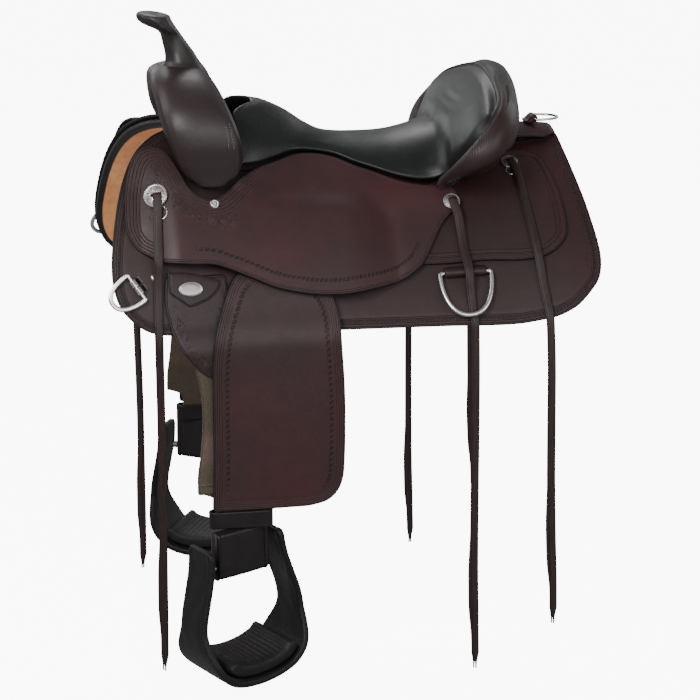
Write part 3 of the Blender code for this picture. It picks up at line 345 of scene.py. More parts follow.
# ----------------------------------------------------------------------------
# Materials: all from nodes
# ----------------------------------------------------------------------------
class Graph:
    def __init__(self, name, **fixed):
        self.mat = bpy.data.materials.new(name)
        self.mat.use_nodes = True
        self.t = self.mat.node_tree
        self.t.nodes.clear()
        out = self.t.nodes.new("ShaderNodeOutputMaterial")
        self.b = self.t.nodes.new("ShaderNodeBsdfPrincipled")
        self.t.links.new(self.b.outputs[0], out.inputs[0])
        for k, v in fixed.items():
            self.b.inputs[k.replace("_", " ")].default_value = v
        self._obj = None

    def put(self, socket, v):
        if isinstance(v, bpy.types.NodeSocket):
            self.t.links.new(v, socket)
        elif isinstance(v, (tuple, list)) and len(v) == 3 and socket.type == "RGBA":
            socket.default_value = (*v, 1.0)
        else:
            socket.default_value = v

    def m(self, op, a, b=0.0, c=0.0, clamp=False):
        n = self.t.nodes.new("ShaderNodeMath")
        n.operation = op
        n.use_clamp = clamp
        self.put(n.inputs[0], a)
        self.put(n.inputs[1], b)
        if op in ("MULTIPLY_ADD", "SMOOTH_MIN", "SMOOTH_MAX", "COMPARE", "WRAP"):
            self.put(n.inputs[2], c)
        return n.outputs[0]

    def mix(self, fac, a, b, kind="MIX"):
        n = self.t.nodes.new("ShaderNodeMix")
        n.data_type = "RGBA"
        n.blend_type = kind
        self.put(n.inputs[0], fac)
        self.put(n.inputs[6], a)
        self.put(n.inputs[7], b)
        return n.outputs[2]

    def obj(self):
        if self._obj is None:
            self._obj = self.t.nodes.new("ShaderNodeTexCoord").outputs["Object"]
        return self._obj

    def scaled(self, sx, sy, sz, turn=(0, 0, 0)):
        n = self.t.nodes.new("ShaderNodeMapping")
        self.put(n.inputs["Vector"], self.obj())
        n.inputs["Scale"].default_value = (sx, sy, sz)
        n.inputs["Rotation"].default_value = turn
        return n.outputs[0]

    def noise(self, scale, detail=3.0, rough=0.5, vec=None, warp=0.0):
        n = self.t.nodes.new("ShaderNodeTexNoise")
        self.put(n.inputs["Vector"], vec if vec is not None else self.obj())
        n.inputs["Scale"].default_value = scale
        n.inputs["Detail"].default_value = detail
        n.inputs["Roughness"].default_value = rough
        n.inputs["Distortion"].default_value = warp
        return n.outputs[0]

    def cells(self, scale, vec=None, feature="F1", rand=1.0):
        n = self.t.nodes.new("ShaderNodeTexVoronoi")
        n.feature = feature
        self.put(n.inputs["Vector"], vec if vec is not None else self.obj())
        n.inputs["Scale"].default_value = scale
        n.inputs["Randomness"].default_value = rand
        return n.outputs[0]

    def attr(self, name):
        n = self.t.nodes.new("ShaderNodeAttribute")
        n.attribute_name = name
        return n.outputs["Fac"]

    def xyz(self):
        n = self.t.nodes.new("ShaderNodeSeparateXYZ")
        self.put(n.inputs[0], self.obj())
        return n.outputs

    def ramp(self, fac, stops, kind="LINEAR"):
        n = self.t.nodes.new("ShaderNodeValToRGB")
        self.put(n.inputs[0], fac)
        cr = n.color_ramp
        cr.interpolation = kind
        while len(cr.elements) > 1:
            cr.elements.remove(cr.elements[-1])
        for i, (p, v) in enumerate(stops):
            e = cr.elements[0] if i == 0 else cr.elements.new(p)
            e.position = p
            e.color = (*v, 1.0) if isinstance(v, (tuple, list)) else (v, v, v, 1.0)
        return n.outputs[0]

    def soft(self, a, b, x):
        """Smooth 0..1 as x goes from a to b."""
        n = self.t.nodes.new("ShaderNodeMapRange")
        n.interpolation_type = "SMOOTHSTEP"
        self.put(n.inputs[0], x)
        n.inputs[1].default_value, n.inputs[2].default_value = a, b
        return n.outputs[0]

    def bump(self, height, distance, strength=1.0, normal=None):
        n = self.t.nodes.new("ShaderNodeBump")
        self.put(n.inputs["Height"], height)
        n.inputs["Distance"].default_value = distance
        n.inputs["Strength"].default_value = strength
        if normal is not None:
            self.put(n.inputs["Normal"], normal)
        return n.outputs[0]

    def done(self, colour=None, rough=None, normal=None, metal=None):
        if colour is not None:
            self.put(self.b.inputs["Base Color"], colour)
        if rough is not None:
            self.put(self.b.inputs["Roughness"], rough)
        if metal is not None:
            self.put(self.b.inputs["Metallic"], metal)
        if normal is not None:
            self.put(self.b.inputs["Normal"], normal)
        return self.mat


REACH = 40.0        # mm of border that the line profile covers


def line_stops(lines, lift=0.5):
    """Ramp stops: base value 0.5, a groove goes down and its lips go up."""
    stops = [(0.0, 0.5)]
    for d, w, depth in lines:
        stops += [((d - 1.9 * w) / REACH, 0.5), ((d - 0.9 * w) / REACH, 0.5 + 0.18 * depth), (d / REACH, 0.5 - 0.5 * depth),
                  ((d + 0.9 * w) / REACH, 0.5 + 0.30 * depth), ((d + 1.9 * w) / REACH, 0.5)]
    out, last = [], -1.0
    for p, v in stops:
        p = max(p, last + 1e-4)
        out.append((p, v))
        last = p
    return out[:31] + [(1.0, 0.5)]


def leather(name, dark, red, lines=(), zone_lines=None, stamps=(), stipple=None, edge=1.8, rough=0.47, grain=1.0,
            coat=0.0, tone=1.0, specular=0.38):
    """Oiled saddle leather. rim is the distance to the edge in mm, run the way along it."""
    g = Graph(name, Specular_IOR_Level=specular, Coat_Weight=coat, Coat_Roughness=0.22)
    rim, run = g.attr("rim"), g.attr("run")
    big = g.ramp(g.noise(5.0, 2.0, 0.5, warp=0.4), [(0.36, 0.0), (0.66, 1.0)])
    small = g.noise(38.0, 5.0, 0.62)
    col = g.mix(big, tuple(c * tone for c in dark), tuple(c * tone for c in red))
    col = g.mix(g.ramp(small, [(0.35, 0.0), (0.75, 0.45)]), col, tuple(c * tone * 0.55 for c in dark))
    pores = g.cells(900.0)
    fine = g.noise(420.0, 4.0, 0.6)
    height = g.m("MULTIPLY_ADD", pores, 0.35, fine)
    normal = g.bump(height, 0.00022 * grain, 0.55)
    wave = g.noise(26.0, 2.0, 0.5)
    normal = g.bump(wave, 0.0016, 0.30, normal)
    r = g.m("MULTIPLY_ADD", small, 0.16, rough - 0.07)
    if lines or zone_lines or stamps or stipple:
        f = g.m("DIVIDE", rim, REACH, clamp=True)
        prof = g.ramp(f, line_stops(lines)) if lines else 0.5
        if zone_lines:
            zone = g.attr("zone")
            prof = g.mix(zone, g.ramp(f, line_stops(lines)), g.ramp(f, line_stops(zone_lines)))
        if lines or zone_lines:
            normal = g.bump(prof, 0.0016, 1.0, normal)
            # the grooves of the tooled lines are darkened as painted shade, and the lips beside them are lightened as a
            # painted highlight
            groove = g.soft(0.48, 0.22, prof)
            lip = g.soft(0.53, 0.66, prof)
            col = g.mix(groove, col, tuple(c * tone * 0.18 for c in dark))
            col = g.mix(g.m("MULTIPLY", lip, 0.75), col, tuple(c * tone * 2.7 + 0.010 for c in dark))
        for d0, half, pitch, slant, weight, where in stamps:
            span = 0.34 if pitch < 6.5 else 0.29
            v = g.m("SUBTRACT", rim, d0)
            u = g.m("DIVIDE", g.m("MULTIPLY_ADD", v, slant, run), pitch)
            u = g.m("MULTIPLY", g.m("SUBTRACT", g.m("FRACT", u), 0.5), pitch)
            e = g.m("ADD", g.m("POWER", g.m("ABSOLUTE", g.m("DIVIDE", u, span * pitch)), 2.0),
                    g.m("POWER", g.m("ABSOLUTE", g.m("DIVIDE", v, half)), 2.6))
            mark = g.m("MULTIPLY", g.soft(1.25, 0.45, e), weight)
            ring = g.m("MULTIPLY", g.m("MULTIPLY", g.soft(1.9, 1.35, e), g.soft(0.8, 1.2, e)), weight)
            if where:
                zone = g.attr(where)
                mark, ring = g.m("MULTIPLY", mark, zone), g.m("MULTIPLY", ring, zone)
            normal = g.bump(g.m("SUBTRACT", ring, mark), 0.0011, 0.9, normal)
            # stamp colour: each pit is darkened as painted shade, and the ring round it is lightened as a painted
            # highlight
            col = g.mix(g.m("MULTIPLY", mark, 0.80), col, tuple(c * tone * 0.22 for c in dark))
            col = g.mix(g.m("MULTIPLY", ring, 0.55), col, tuple(c * tone * 2.6 + 0.010 for c in dark))
        if stipple:
            spots = g.cells(330.0, rand=1.0)
            leaf = g.noise(120.0, 3.0, 0.6, warp=1.4)
            s_mask = g.attr(stipple)
            dots = g.m("MULTIPLY", g.m("MULTIPLY", g.soft(0.0013 * 330, 0.0006 * 330, spots), g.soft(0.44, 0.56, leaf)),
                       s_mask)
            normal = g.bump(g.m("MULTIPLY", dots, -1.0), 0.0009, 0.9, normal)
            # the stipple dots are darkened as painted shade in their pits; the ground between them is made lighter
            col = g.mix(g.m("MULTIPLY", dots, 0.78), col, tuple(c * tone * 0.20 for c in dark))
            light = g.m("MULTIPLY", g.m("MULTIPLY", g.soft(0.50, 0.36, leaf), s_mask), 0.35)
            col = g.mix(light, col, tuple(c * tone * 2.0 + 0.012 for c in dark))
        band = g.soft(edge + 0.9, edge - 0.4, rim)
        col = g.mix(g.m("MULTIPLY", band, 0.88), col, (0.006, 0.0055, 0.006))
        r = g.m("MULTIPLY_ADD", band, 0.10, r)
    return g.done(col, r, normal)


DARK = (0.0330, 0.0165, 0.0170)
RED = (0.0520, 0.0150, 0.0175)

m_skirt = leather("m_skirt", DARK, RED, lines=[(3.2, 0.55, 0.8), (6.6, 0.55, 0.9), (14.5, 0.5, 0.6)],
                  stamps=[(10.4, 1.9, 5.4, 0.7, 1.0, None)], tone=0.86, edge=2.2)
m_jockey = leather("m_jockey", DARK, RED, lines=[(2.8, 0.5, 0.8), (5.2, 0.5, 0.6)],
                   zone_lines=[(3.0, 0.7, 0.9), (7.4, 0.7, 1.0), (12.0, 0.7, 0.9), (16.6, 0.7, 0.9), (21.0, 0.7, 0.8)],
                   stamps=[(19.5, 2.2, 6.8, 0.9, 1.0, "rope"), (10.2, 1.9, 3.4, 0.0, 1.0, "notch")], stipple="mottle", edge=1.4,
                   tone=1.06)
m_rear = leather("m_rear_jockey", DARK, RED, lines=[(2.4, 0.5, 0.7), (8.6, 0.6, 1.0), (10.8, 0.5, 0.8)],
                 stamps=[(15.5, 0.7, 3.0, 0.0, 0.8, None)], edge=1.4, tone=0.90)
m_fender = leather("m_fender", DARK, RED, lines=[(3.0, 0.6, 1.0), (6.2, 0.6, 1.0), (9.2, 0.55, 0.9), (12.6, 0.5, 0.6)],
                   stamps=[(20.5, 2.5, 8.8, 0.75, 1.0, "rope")], edge=1.6, tone=0.98)
m_rig = leather("m_rigging", DARK, RED, lines=[(3.0, 0.55, 0.8)], stipple="mottle", edge=1.6, tone=0.72)
m_keeper = leather("m_keeper", DARK, RED, lines=[(2.0, 0.45, 0.8)], edge=0.8, tone=0.62)
m_bridge = leather("m_bridge", DARK, RED, lines=[(3.0, 0.5, 0.9), (5.6, 0.5, 0.8)], edge=1.4, tone=0.90)
m_plain = leather("m_leather", DARK, RED, tone=0.90)
m_swell = leather("m_swell", (0.0270, 0.0165, 0.0170), (0.0340, 0.0170, 0.0190), rough=0.43, grain=0.8, specular=0.5)
m_horn = leather("m_horn", (0.0180, 0.0145, 0.0145), (0.0240, 0.0160, 0.0160), rough=0.42, grain=1.3, specular=0.5)


def pucker_leather(name, dark, red):
    """Binding leather: gathered where it turns over the cantle."""
    g = Graph(name, Specular_IOR_Level=0.4)
    run, rim = g.attr("run"), g.attr("rim")
    pucker, rough_top = g.attr("pucker"), g.attr("grainy")
    big = g.ramp(g.noise(7.0, 2.0), [(0.35, 0.0), (0.7, 1.0)])
    small = g.noise(60.0, 4.0, 0.6)
    col = g.mix(big, dark, red)
    col = g.mix(g.m("MULTIPLY", small, 0.30), col, tuple(c * 0.4 for c in dark))
    wav = g.m("SINE", g.m("ADD", g.m("MULTIPLY", run, 2 * math.pi / 3.4), g.m("MULTIPLY", g.noise(60.0, 2.0), 7.0)))
    fold = g.m("MULTIPLY", wav, pucker)
    normal = g.bump(g.noise(500.0, 4.0, 0.6), 0.00022, 0.6)
    normal = g.bump(fold, 0.0006, 0.7, normal)
    grains = g.cells(420.0)
    normal = g.bump(g.m("MULTIPLY", grains, rough_top), 0.0016, 0.8, normal)
    # the troughs of the gathers are darkened as painted shade
    col = g.mix(g.m("MULTIPLY", g.soft(0.1, -0.8, fold), 0.35), col, tuple(c * 0.2 for c in dark))
    col = g.mix(g.m("MULTIPLY", g.m("MULTIPLY", g.soft(0.15, 0.55, grains), rough_top), 0.35), col, (0.055, 0.052, 0.052))
    for d0 in (2.6, 4.4, 6.4):
        seam = g.soft(0.55, 0.15, g.m("ABSOLUTE", g.m("SUBTRACT", rim, d0)))
        stitch = g.m("MULTIPLY", seam, g.soft(0.38, 0.46, g.m("ABSOLUTE", g.m("SUBTRACT", g.m("FRACT", g.m("DIVIDE", run, 3.2)), 0.5))))
        normal = g.bump(g.m("SUBTRACT", g.m("MULTIPLY", seam, -0.7), stitch), 0.0006, 0.8, normal)
        col = g.mix(g.m("MULTIPLY", seam, 0.55), col, (0.004, 0.004, 0.004))
    r = g.m("MULTIPLY_ADD", small, 0.14, 0.38)
    return g.done(col, r, normal)


m_binding = pucker_leather("m_binding", (0.0235, 0.0140, 0.0135), (0.0300, 0.0135, 0.0140))


def black_leather(name, colour, rough, grain, spread=0.10, specular=0.5, sheen=0.0, tint=(0.9, 0.95, 1.0, 1.0)):
    g = Graph(name, Specular_IOR_Level=specular, Sheen_Weight=sheen, Sheen_Roughness=0.45, Sheen_Tint=tint)
    small = g.noise(45.0, 5.0, 0.6)
    col = g.mix(g.ramp(small, [(0.3, 0.0), (0.75, 1.0)]), colour, tuple(c * 1.55 for c in colour))
    pores = g.cells(700.0)
    folds = g.noise(150.0, 4.0, 0.62, warp=0.6)
    normal = g.bump(pores, 0.00025 * grain, 0.7)
    normal = g.bump(folds, 0.0008 * grain, 0.35, normal)
    r = g.m("MULTIPLY_ADD", small, spread, rough - spread / 2)
    return g.done(col, r, normal)


m_seat = black_leather("m_seat", (0.0062, 0.0070, 0.0070), 0.36, 1.0, specular=0.40, sheen=0.03, tint=(0.75, 0.92, 0.88, 1.0))
m_stirrup = black_leather("m_stirrup", (0.0065, 0.0056, 0.0062), 0.50, 2.0, specular=0.32, sheen=0.04, tint=(0.85, 0.80, 1.0, 1.0))
m_neck = black_leather("m_neck", (0.0095, 0.0070, 0.0078), 0.34, 0.7, specular=0.4)
m_tread = black_leather("m_tread", (0.0095, 0.0090, 0.0095), 0.52, 1.4, spread=0.2, specular=0.3)
# near-black and matt: the painted shade laid over the concho slots
m_slot_shade = black_leather("m_inside", (0.0035, 0.0035, 0.0035), 0.85, 1.0, specular=0.1)
m_gullet = black_leather("m_gullet", (0.0100, 0.0082, 0.0080), 0.55, 1.6, specular=0.3)
m_under_seat = black_leather("m_under_seat", (0.0075, 0.0080, 0.0080), 0.50, 1.2, specular=0.3)


def tan_leather():
    g = Graph("m_lining", Specular_IOR_Level=0.35, Sheen_Weight=0.15, Sheen_Roughness=0.5)
    rim = g.attr("rim")
    big = g.ramp(g.noise(9.0, 3.0, 0.55, warp=0.5), [(0.35, 0.0), (0.65, 1.0)])
    small = g.noise(90.0, 5.0, 0.66)
    col = g.mix(big, (0.880, 0.370, 0.150), (0.960, 0.480, 0.215))
    col = g.mix(g.ramp(small, [(0.42, 0.0), (0.68, 0.6)]), col, (0.720, 0.240, 0.085))
    specks = g.soft(0.22, 0.10, g.cells(260.0))
    col = g.mix(g.m("MULTIPLY", g.m("MULTIPLY", specks, g.soft(0.55, 0.7, g.noise(70.0, 2.0))), 0.8), col, (0.10, 0.03, 0.012))
    band = g.soft(8.8, 7.6, rim)
    col = g.mix(band, col, (0.0085, 0.0085, 0.0095))
    edge_line = g.soft(1.2, 0.3, g.m("ABSOLUTE", g.m("SUBTRACT", rim, 8.6)))
    col = g.mix(g.m("MULTIPLY", edge_line, 0.8), col, (0.02, 0.008, 0.004))
    normal = g.bump(g.noise(300.0, 5.0, 0.7), 0.0007, 0.6)
    normal = g.bump(g.m("MULTIPLY", edge_line, -1.0), 0.0010, 0.8, normal)
    r = g.m("SUBTRACT", g.m("MULTIPLY_ADD", small, 0.2, 0.62), g.m("MULTIPLY", band, 0.28))
    return g.done(col, r, normal)


m_lining = tan_leather()


def web_cloth():
    """Herringbone webbing."""
    g = Graph("m_webbing", Specular_IOR_Level=0.25, Sheen_Weight=0.35, Sheen_Roughness=0.4, Sheen_Tint=(1.0, 0.92, 0.8, 1.0))
    x, y, z = g.xyz()
    zig = g.m("PINGPONG", x, 0.0075)
    d = g.m("ADD", z, g.m("MULTIPLY", zig, 1.0))
    twill = g.m("MULTIPLY_ADD", g.m("SINE", g.m("MULTIPLY", d, 2 * math.pi / 0.0029)), 0.5, 0.5)
    ribs = g.m("MULTIPLY_ADD", g.m("SINE", g.m("MULTIPLY", x, 2 * math.pi / 0.0026)), 0.5, 0.5)
    yarn = g.noise(700.0, 3.0, 0.6)
    worn = g.m("MULTIPLY", g.soft(-0.375, -0.352, z), g.soft(-0.305, -0.330, z))
    col = g.mix(twill, (0.060, 0.047, 0.031), (0.150, 0.122, 0.082))
    col = g.mix(g.m("MULTIPLY", yarn, 0.35), col, (0.05, 0.042, 0.034))
    col = g.mix(g.m("MULTIPLY", worn, g.m("MULTIPLY_ADD", ribs, 0.35, 0.25)), col, (0.20, 0.115, 0.110))
    edge = g.soft(3.2, 2.0, g.attr("rim"))
    col = g.mix(g.m("MULTIPLY", edge, 0.5), col, (0.035, 0.028, 0.02))
    normal = g.bump(twill, 0.0007, 0.9)
    normal = g.bump(yarn, 0.0003, 0.5, normal)
    return g.done(col, 0.85, normal)


m_web = web_cloth()


def string_leather():
    g = Graph("m_string", Specular_IOR_Level=0.4)
    x, y, z = g.xyz()
    long = g.noise(90.0, 3.0, 0.55, vec=g.scaled(3.0, 3.0, 0.35))
    col = g.mix(g.ramp(long, [(0.38, 0.0), (0.62, 1.0)]), (0.0165, 0.0118, 0.0112), (0.0380, 0.0128, 0.0140))
    col = g.mix(g.m("MULTIPLY", g.noise(260.0, 4.0, 0.6), 0.35), col, (0.012, 0.009, 0.009))
    edge = g.soft(0.9, 0.5, g.attr("rim"))
    col = g.mix(g.m("MULTIPLY", edge, 0.45), col, (0.035, 0.022, 0.020))
    normal = g.bump(g.noise(500.0, 4.0, 0.65), 0.0004, 0.7)
    return g.done(col, g.m("MULTIPLY_ADD", long, 0.2, 0.42), normal)


m_string = string_leather()


def metal(name, colour, rough, engrave=False):
    g = Graph(name)
    fine = g.noise(240.0, 4.0, 0.6)
    tarnish = g.ramp(g.noise(55.0, 4.0, 0.6), [(0.45, 0.0), (0.8, 0.5)])
    col = g.mix(tarnish, colour, tuple(c * 0.52 for c in colour))
    normal = g.bump(fine, 0.00012, 0.5)
    r = g.m("MULTIPLY_ADD", fine, 0.14, rough - 0.07)
    if engrave:
        cut = g.attr("engrave")
        col = g.mix(g.m("MULTIPLY", cut, 0.80), col, (0.035, 0.030, 0.030))
        r = g.m("MULTIPLY_ADD", cut, 0.3, r)
    return g.done(col, r, normal, 1.0)


m_silver = metal("m_silver", (0.83, 0.80, 0.79), 0.24)
m_bright = metal("m_bright", (0.86, 0.84, 0.83), 0.17)
m_engraved = metal("m_concho", (0.64, 0.58, 0.58), 0.26, engrave=True)
m_dark_metal = metal("m_dark_metal", (0.36, 0.35, 0.36), 0.30)
m_badge = metal("m_badge", (0.44, 0.42, 0.42), 0.36, engrave=True)


def wood(name):
    g = Graph(name, Specular_IOR_Level=0.3)
    grain = g.noise(60.0, 4.0, 0.6, vec=g.scaled(0.25, 1.0, 2.5))
    col = g.mix(grain, (0.16, 0.10, 0.055), (0.36, 0.25, 0.14))
    return g.done(col, g.m("MULTIPLY_ADD", grain, 0.2, 0.55), g.bump(grain, 0.0006, 0.6))


m_tree = wood("m_tree")


# ----------------------------------------------------------------------------
# Mesh builders
# ----------------------------------------------------------------------------
def new_mesh(name, verts, faces, mat, attrs=None, smooth=True):
    me = bpy.data.meshes.new(name)
    me.from_pydata([tuple(map(float, v)) for v in verts], [], [tuple(map(int, f)) for f in faces])
    for key, vals in (attrs or {}).items():
        at = me.attributes.new(key, "FLOAT", "POINT")
        at.data.foreach_set("value", np.asarray(vals, np.float32))
    me.materials.append(mat)
    if smooth:
        me.shade_smooth()
    me.validate()
    me.update()
    ob = bpy.data.objects.new(name, me)
    scene.collection.objects.link(ob)
    return ob


def twin(ob, name):
    """The off-side copy of a near-side piece."""
    me = ob.data.copy()
    me.name = name
    me.transform(Matrix.Scale(-1.0, 4, (0.0, 1.0, 0.0)))
    me.flip_normals()
    me.update()
    o = bpy.data.objects.new(name, me)
    scene.collection.objects.link(o)
    return o


def both(make, name, body="root", nodes=None, slot=None):
    """make(name) builds the near-side piece; both sides get one, riding on their body."""
    left = make(name + "_near")
    right = twin(left, name + "_off")
    for ob, tag in ((left, "left"), (right, "right")):
        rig.ride(ob, body if body == "root" else body + "_" + tag)
        if nodes:
            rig.replaces(ob, *[n + "_" + tag for n in ([nodes] if isinstance(nodes, str) else nodes)])
        if slot:
            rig.slot(ob, slot)
    return left, right


def single(ob, body="root", nodes=(), slot=None):
    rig.ride(ob, body)
    if nodes:
        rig.replaces(ob, *([nodes] if isinstance(nodes, str) else nodes))
    if slot:
        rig.slot(ob, slot)
    return ob


def outline_of(edges, step_len=0.0022, soften=6):
    """Closed outline in even steps, chained from edge curves."""
    pts = []
    for e in edges:
        f = path_fn(e)
        k = max(3, int(f.length / 0.0008))
        pts.append(f(np.arange(k) / k))
    P = np.vstack(pts)
    for rounds in (soften, 1):
        Q = np.vstack([P, P[:1]])
        L = np.concatenate([[0], np.cumsum(np.linalg.norm(np.diff(Q, axis=0), axis=1))])
        n = int(L[-1] / step_len)
        t = np.arange(n) * L[-1] / n
        P = np.stack([np.interp(t, L, Q[:, 0]), np.interp(t, L, Q[:, 1])], 1)
        for _ in range(rounds):
            P = 0.25 * np.roll(P, 1, 0) + 0.5 * P + 0.25 * np.roll(P, -1, 0)
    area = 0.5 * np.sum(P[:, 0] * np.roll(P[:, 1], -1) - np.roll(P[:, 0], -1) * P[:, 1])
    return P if area > 0 else P[::-1].copy()


def inside(P, q):
    x, y = q[:, 0][:, None], q[:, 1][:, None]
    x0, y0 = P[:, 0][None], P[:, 1][None]
    x1, y1 = np.roll(P[:, 0], -1)[None], np.roll(P[:, 1], -1)[None]
    cross = ((y0 > y) != (y1 > y)) & (x < (x1 - x0) * (y - y0) / np.where(y1 == y0, 1e-12, y1 - y0) + x0)
    return (cross.sum(1) % 2) == 1


def cloud(P, rings, inner):
    """Outline, offset rows and inner points, and their triangles."""
    N = len(P)
    run = np.concatenate([[0], np.cumsum(np.linalg.norm(np.diff(P, axis=0), axis=1))])
    tan = np.roll(P, -1, 0) - np.roll(P, 1, 0)
    tan /= np.linalg.norm(tan, axis=1)[:, None]
    nor = np.stack([-tan[:, 1], tan[:, 0]], 1)
    kd = kdtree.KDTree(N)
    for i, p in enumerate(P):
        kd.insert((p[0], p[1], 0), i)
    kd.balance()
    pts, rim, rn = [P], [np.zeros(N)], [run]
    for d in rings:
        Q = P + nor * d
        keep = np.array([kd.find((q[0], q[1], 0))[2] > d - max(0.00018, 0.05 * d) for q in Q]) & inside(P, Q)
        pts.append(Q[keep])
        rim.append(np.full(keep.sum(), d))
        rn.append(run[keep])
    last = rings[-1] if len(rings) else 0.0
    lo, hi = P.min(0), P.max(0)
    gx, gy = np.meshgrid(np.arange(lo[0], hi[0], inner), np.arange(lo[1], hi[1], inner * 0.866))
    gx = gx + (np.arange(gx.shape[0]) % 2)[:, None] * inner * 0.5
    G = np.stack([gx.ravel(), gy.ravel()], 1)
    G = G[inside(P, G)]
    found = [kd.find((q[0], q[1], 0)) for q in G]
    dist = np.array([f[2] for f in found])
    keep = dist > last + inner * 0.55
    pts.append(G[keep])
    rim.append(dist[keep])
    rn.append(np.array([run[f[1]] for f in found])[keep])
    A = np.vstack(pts)
    rim, rn = np.concatenate(rim), np.concatenate(rn)
    edges = [(i, (i + 1) % N) for i in range(N)]
    vs, es, fs, ov, oe, of_ = delaunay_2d_cdt([Vector((float(a), float(b))) for a, b in A], edges, [], 1, 1e-8)
    back_to = [o[0] if len(o) else -1 for o in ov]
    faces = [[back_to[i] for i in f] for f in fs]
    faces = [f for f in faces if -1 not in f and len(set(f)) == 3]
    return A, rim, rn, faces


def panel(name, P, place, w_top, thick, mat, grooves=(), zone_grooves=(), zone=None, extra=None, inner=0.0075, edge_r=0.0011,
          outward=(0, -0.75, 0.66), under=False):
    """A leather part with a rounded, creased border. place(p, q, w) gives points; w_top is its upper face."""
    rows = {edge_r * 0.3, edge_r * 0.65, edge_r}
    for d, w, depth in list(grooves) + list(zone_grooves):
        rows |= {d - 2 * w, d - w, d, d + w, d + 2 * w}
    rows = sorted(r for r in rows if r > 1e-4)
    keep = [rows[0]]
    for r in rows[1:]:
        if r - keep[-1] > 0.00022:
            keep.append(r)
    A, rim, run, tris = cloud(P, keep, inner)
    x, s = A[:, 0], A[:, 1]
    drop = np.where(rim < edge_r, edge_r - np.sqrt(np.maximum(edge_r ** 2 - (edge_r - rim) ** 2, 0)), 0)
    z = zone(x, s, run) if zone else np.zeros(len(x))
    rel = np.zeros(len(x))
    for d, w, depth in grooves:
        rel -= depth * np.exp(-((rim - d) / w) ** 2) * (1 - z)
    for d, w, depth in zone_grooves:
        rel -= depth * np.exp(-((rim - d) / w) ** 2) * z
    top = place(x, s, w_top(x, s) - drop + rel)
    B, brim, brun, btris = cloud(P, [0.0015, 0.0080, 0.0125, 0.0140, 0.0155] if under else [0.0015], 0.009 if under else 0.012)
    bx, bs = B[:, 0], B[:, 1]
    low = place(bx, bs, w_top(bx, bs) - thick + np.where(brim < 1e-6, 0.0004, 0.0))
    n0, N = len(A), len(P)
    f = tris[len(tris) // 2]
    nrm = np.zeros(3)
    for t in tris[:: max(1, len(tris) // 200)]:
        nrm += np.cross(top[t[1]] - top[t[0]], top[t[2]] - top[t[0]])
    flip = np.dot(nrm, outward) < 0
    faces = [t[::-1] if flip else t for t in tris]
    faces += [[i + n0 for i in (t if flip else t[::-1])] for t in btris]
    for i in range(N):
        j = (i + 1) % N
        q = [i, i + n0, j + n0, j]
        faces.append(q[::-1] if flip else q)
    attrs = {"rim": np.concatenate([rim * 1000, brim * 1000 if under else np.zeros(len(B))]), "run": np.concatenate([run * 1000, brun * 1000]),
             "zone": np.concatenate([z, np.zeros(len(B))])}
    for key, fn in (extra or {}).items():
        attrs[key] = np.concatenate([fn(x, s, rim, run), np.zeros(len(B))])
    return new_mesh(name, np.vstack([top, low]), faces, mat, attrs)


def skin(name, rings, mat, closed=True, caps=True, attrs=None, loop=False):
    """Surface over rings of points, (rows, points, 3). loop joins the last row to the first."""
    R = np.asarray(rings, float)
    n, k = R.shape[:2]
    V = R.reshape(-1, 3)
    faces = []
    for i in range(n if loop else n - 1):
        a, b = i * k, ((i + 1) % n) * k
        for j in range(k if closed else k - 1):
            j2 = (j + 1) % k
            faces.append((a + j, b + j, b + j2, a + j2))
    if caps and not loop and closed:
        faces.append(tuple(range(k)))
        faces.append(tuple(reversed(range((n - 1) * k, n * k))))
    ob = new_mesh(name, V, faces, mat, attrs)
    bm = bmesh.new()
    bm.from_mesh(ob.data)
    bmesh.ops.recalc_face_normals(bm, faces=bm.faces[:])
    bm.to_mesh(ob.data)
    bm.free()
    ob.data.shade_smooth()
    return ob


def sweep(name, path, section, mat, up=None, closed_path=False, scale=None, attrs_fn=None, caps=True):
    """A section (list of (side, up)) carried along a path."""
    P = np.asarray(path, float)
    n = len(P)
    if closed_path:
        T = np.roll(P, -1, 0) - np.roll(P, 1, 0)
    else:
        T = np.gradient(P, axis=0)
    T /= np.linalg.norm(T, axis=1)[:, None]
    rings = []
    for i in range(n):
        ref = np.asarray(up(i) if callable(up) else (up if up is not None else (0, -1, 0.2)), float)
        u = ref - np.dot(ref, T[i]) * T[i]
        u /= np.linalg.norm(u)
        r = np.cross(T[i], u)
        k = scale(i / max(1, n - 1)) if scale else 1.0
        sec = section(i / max(1, n - 1)) if callable(section) else section
        rings.append([P[i] + (r * a + u * b) * k for a, b in sec])
    ob = skin(name, rings, mat, closed=True, caps=caps and not closed_path, loop=closed_path)
    return ob


def ellipse(a, b, n=14, power=2.0, cx=0.0, cy=0.0):
    t = 2 * np.pi * np.arange(n) / n
    c, s = np.cos(t), np.sin(t)
    e = 2.0 / power
    return list(zip(cx + a * np.sign(c) * np.abs(c) ** e, cy + b * np.sign(s) * np.abs(s) ** e))


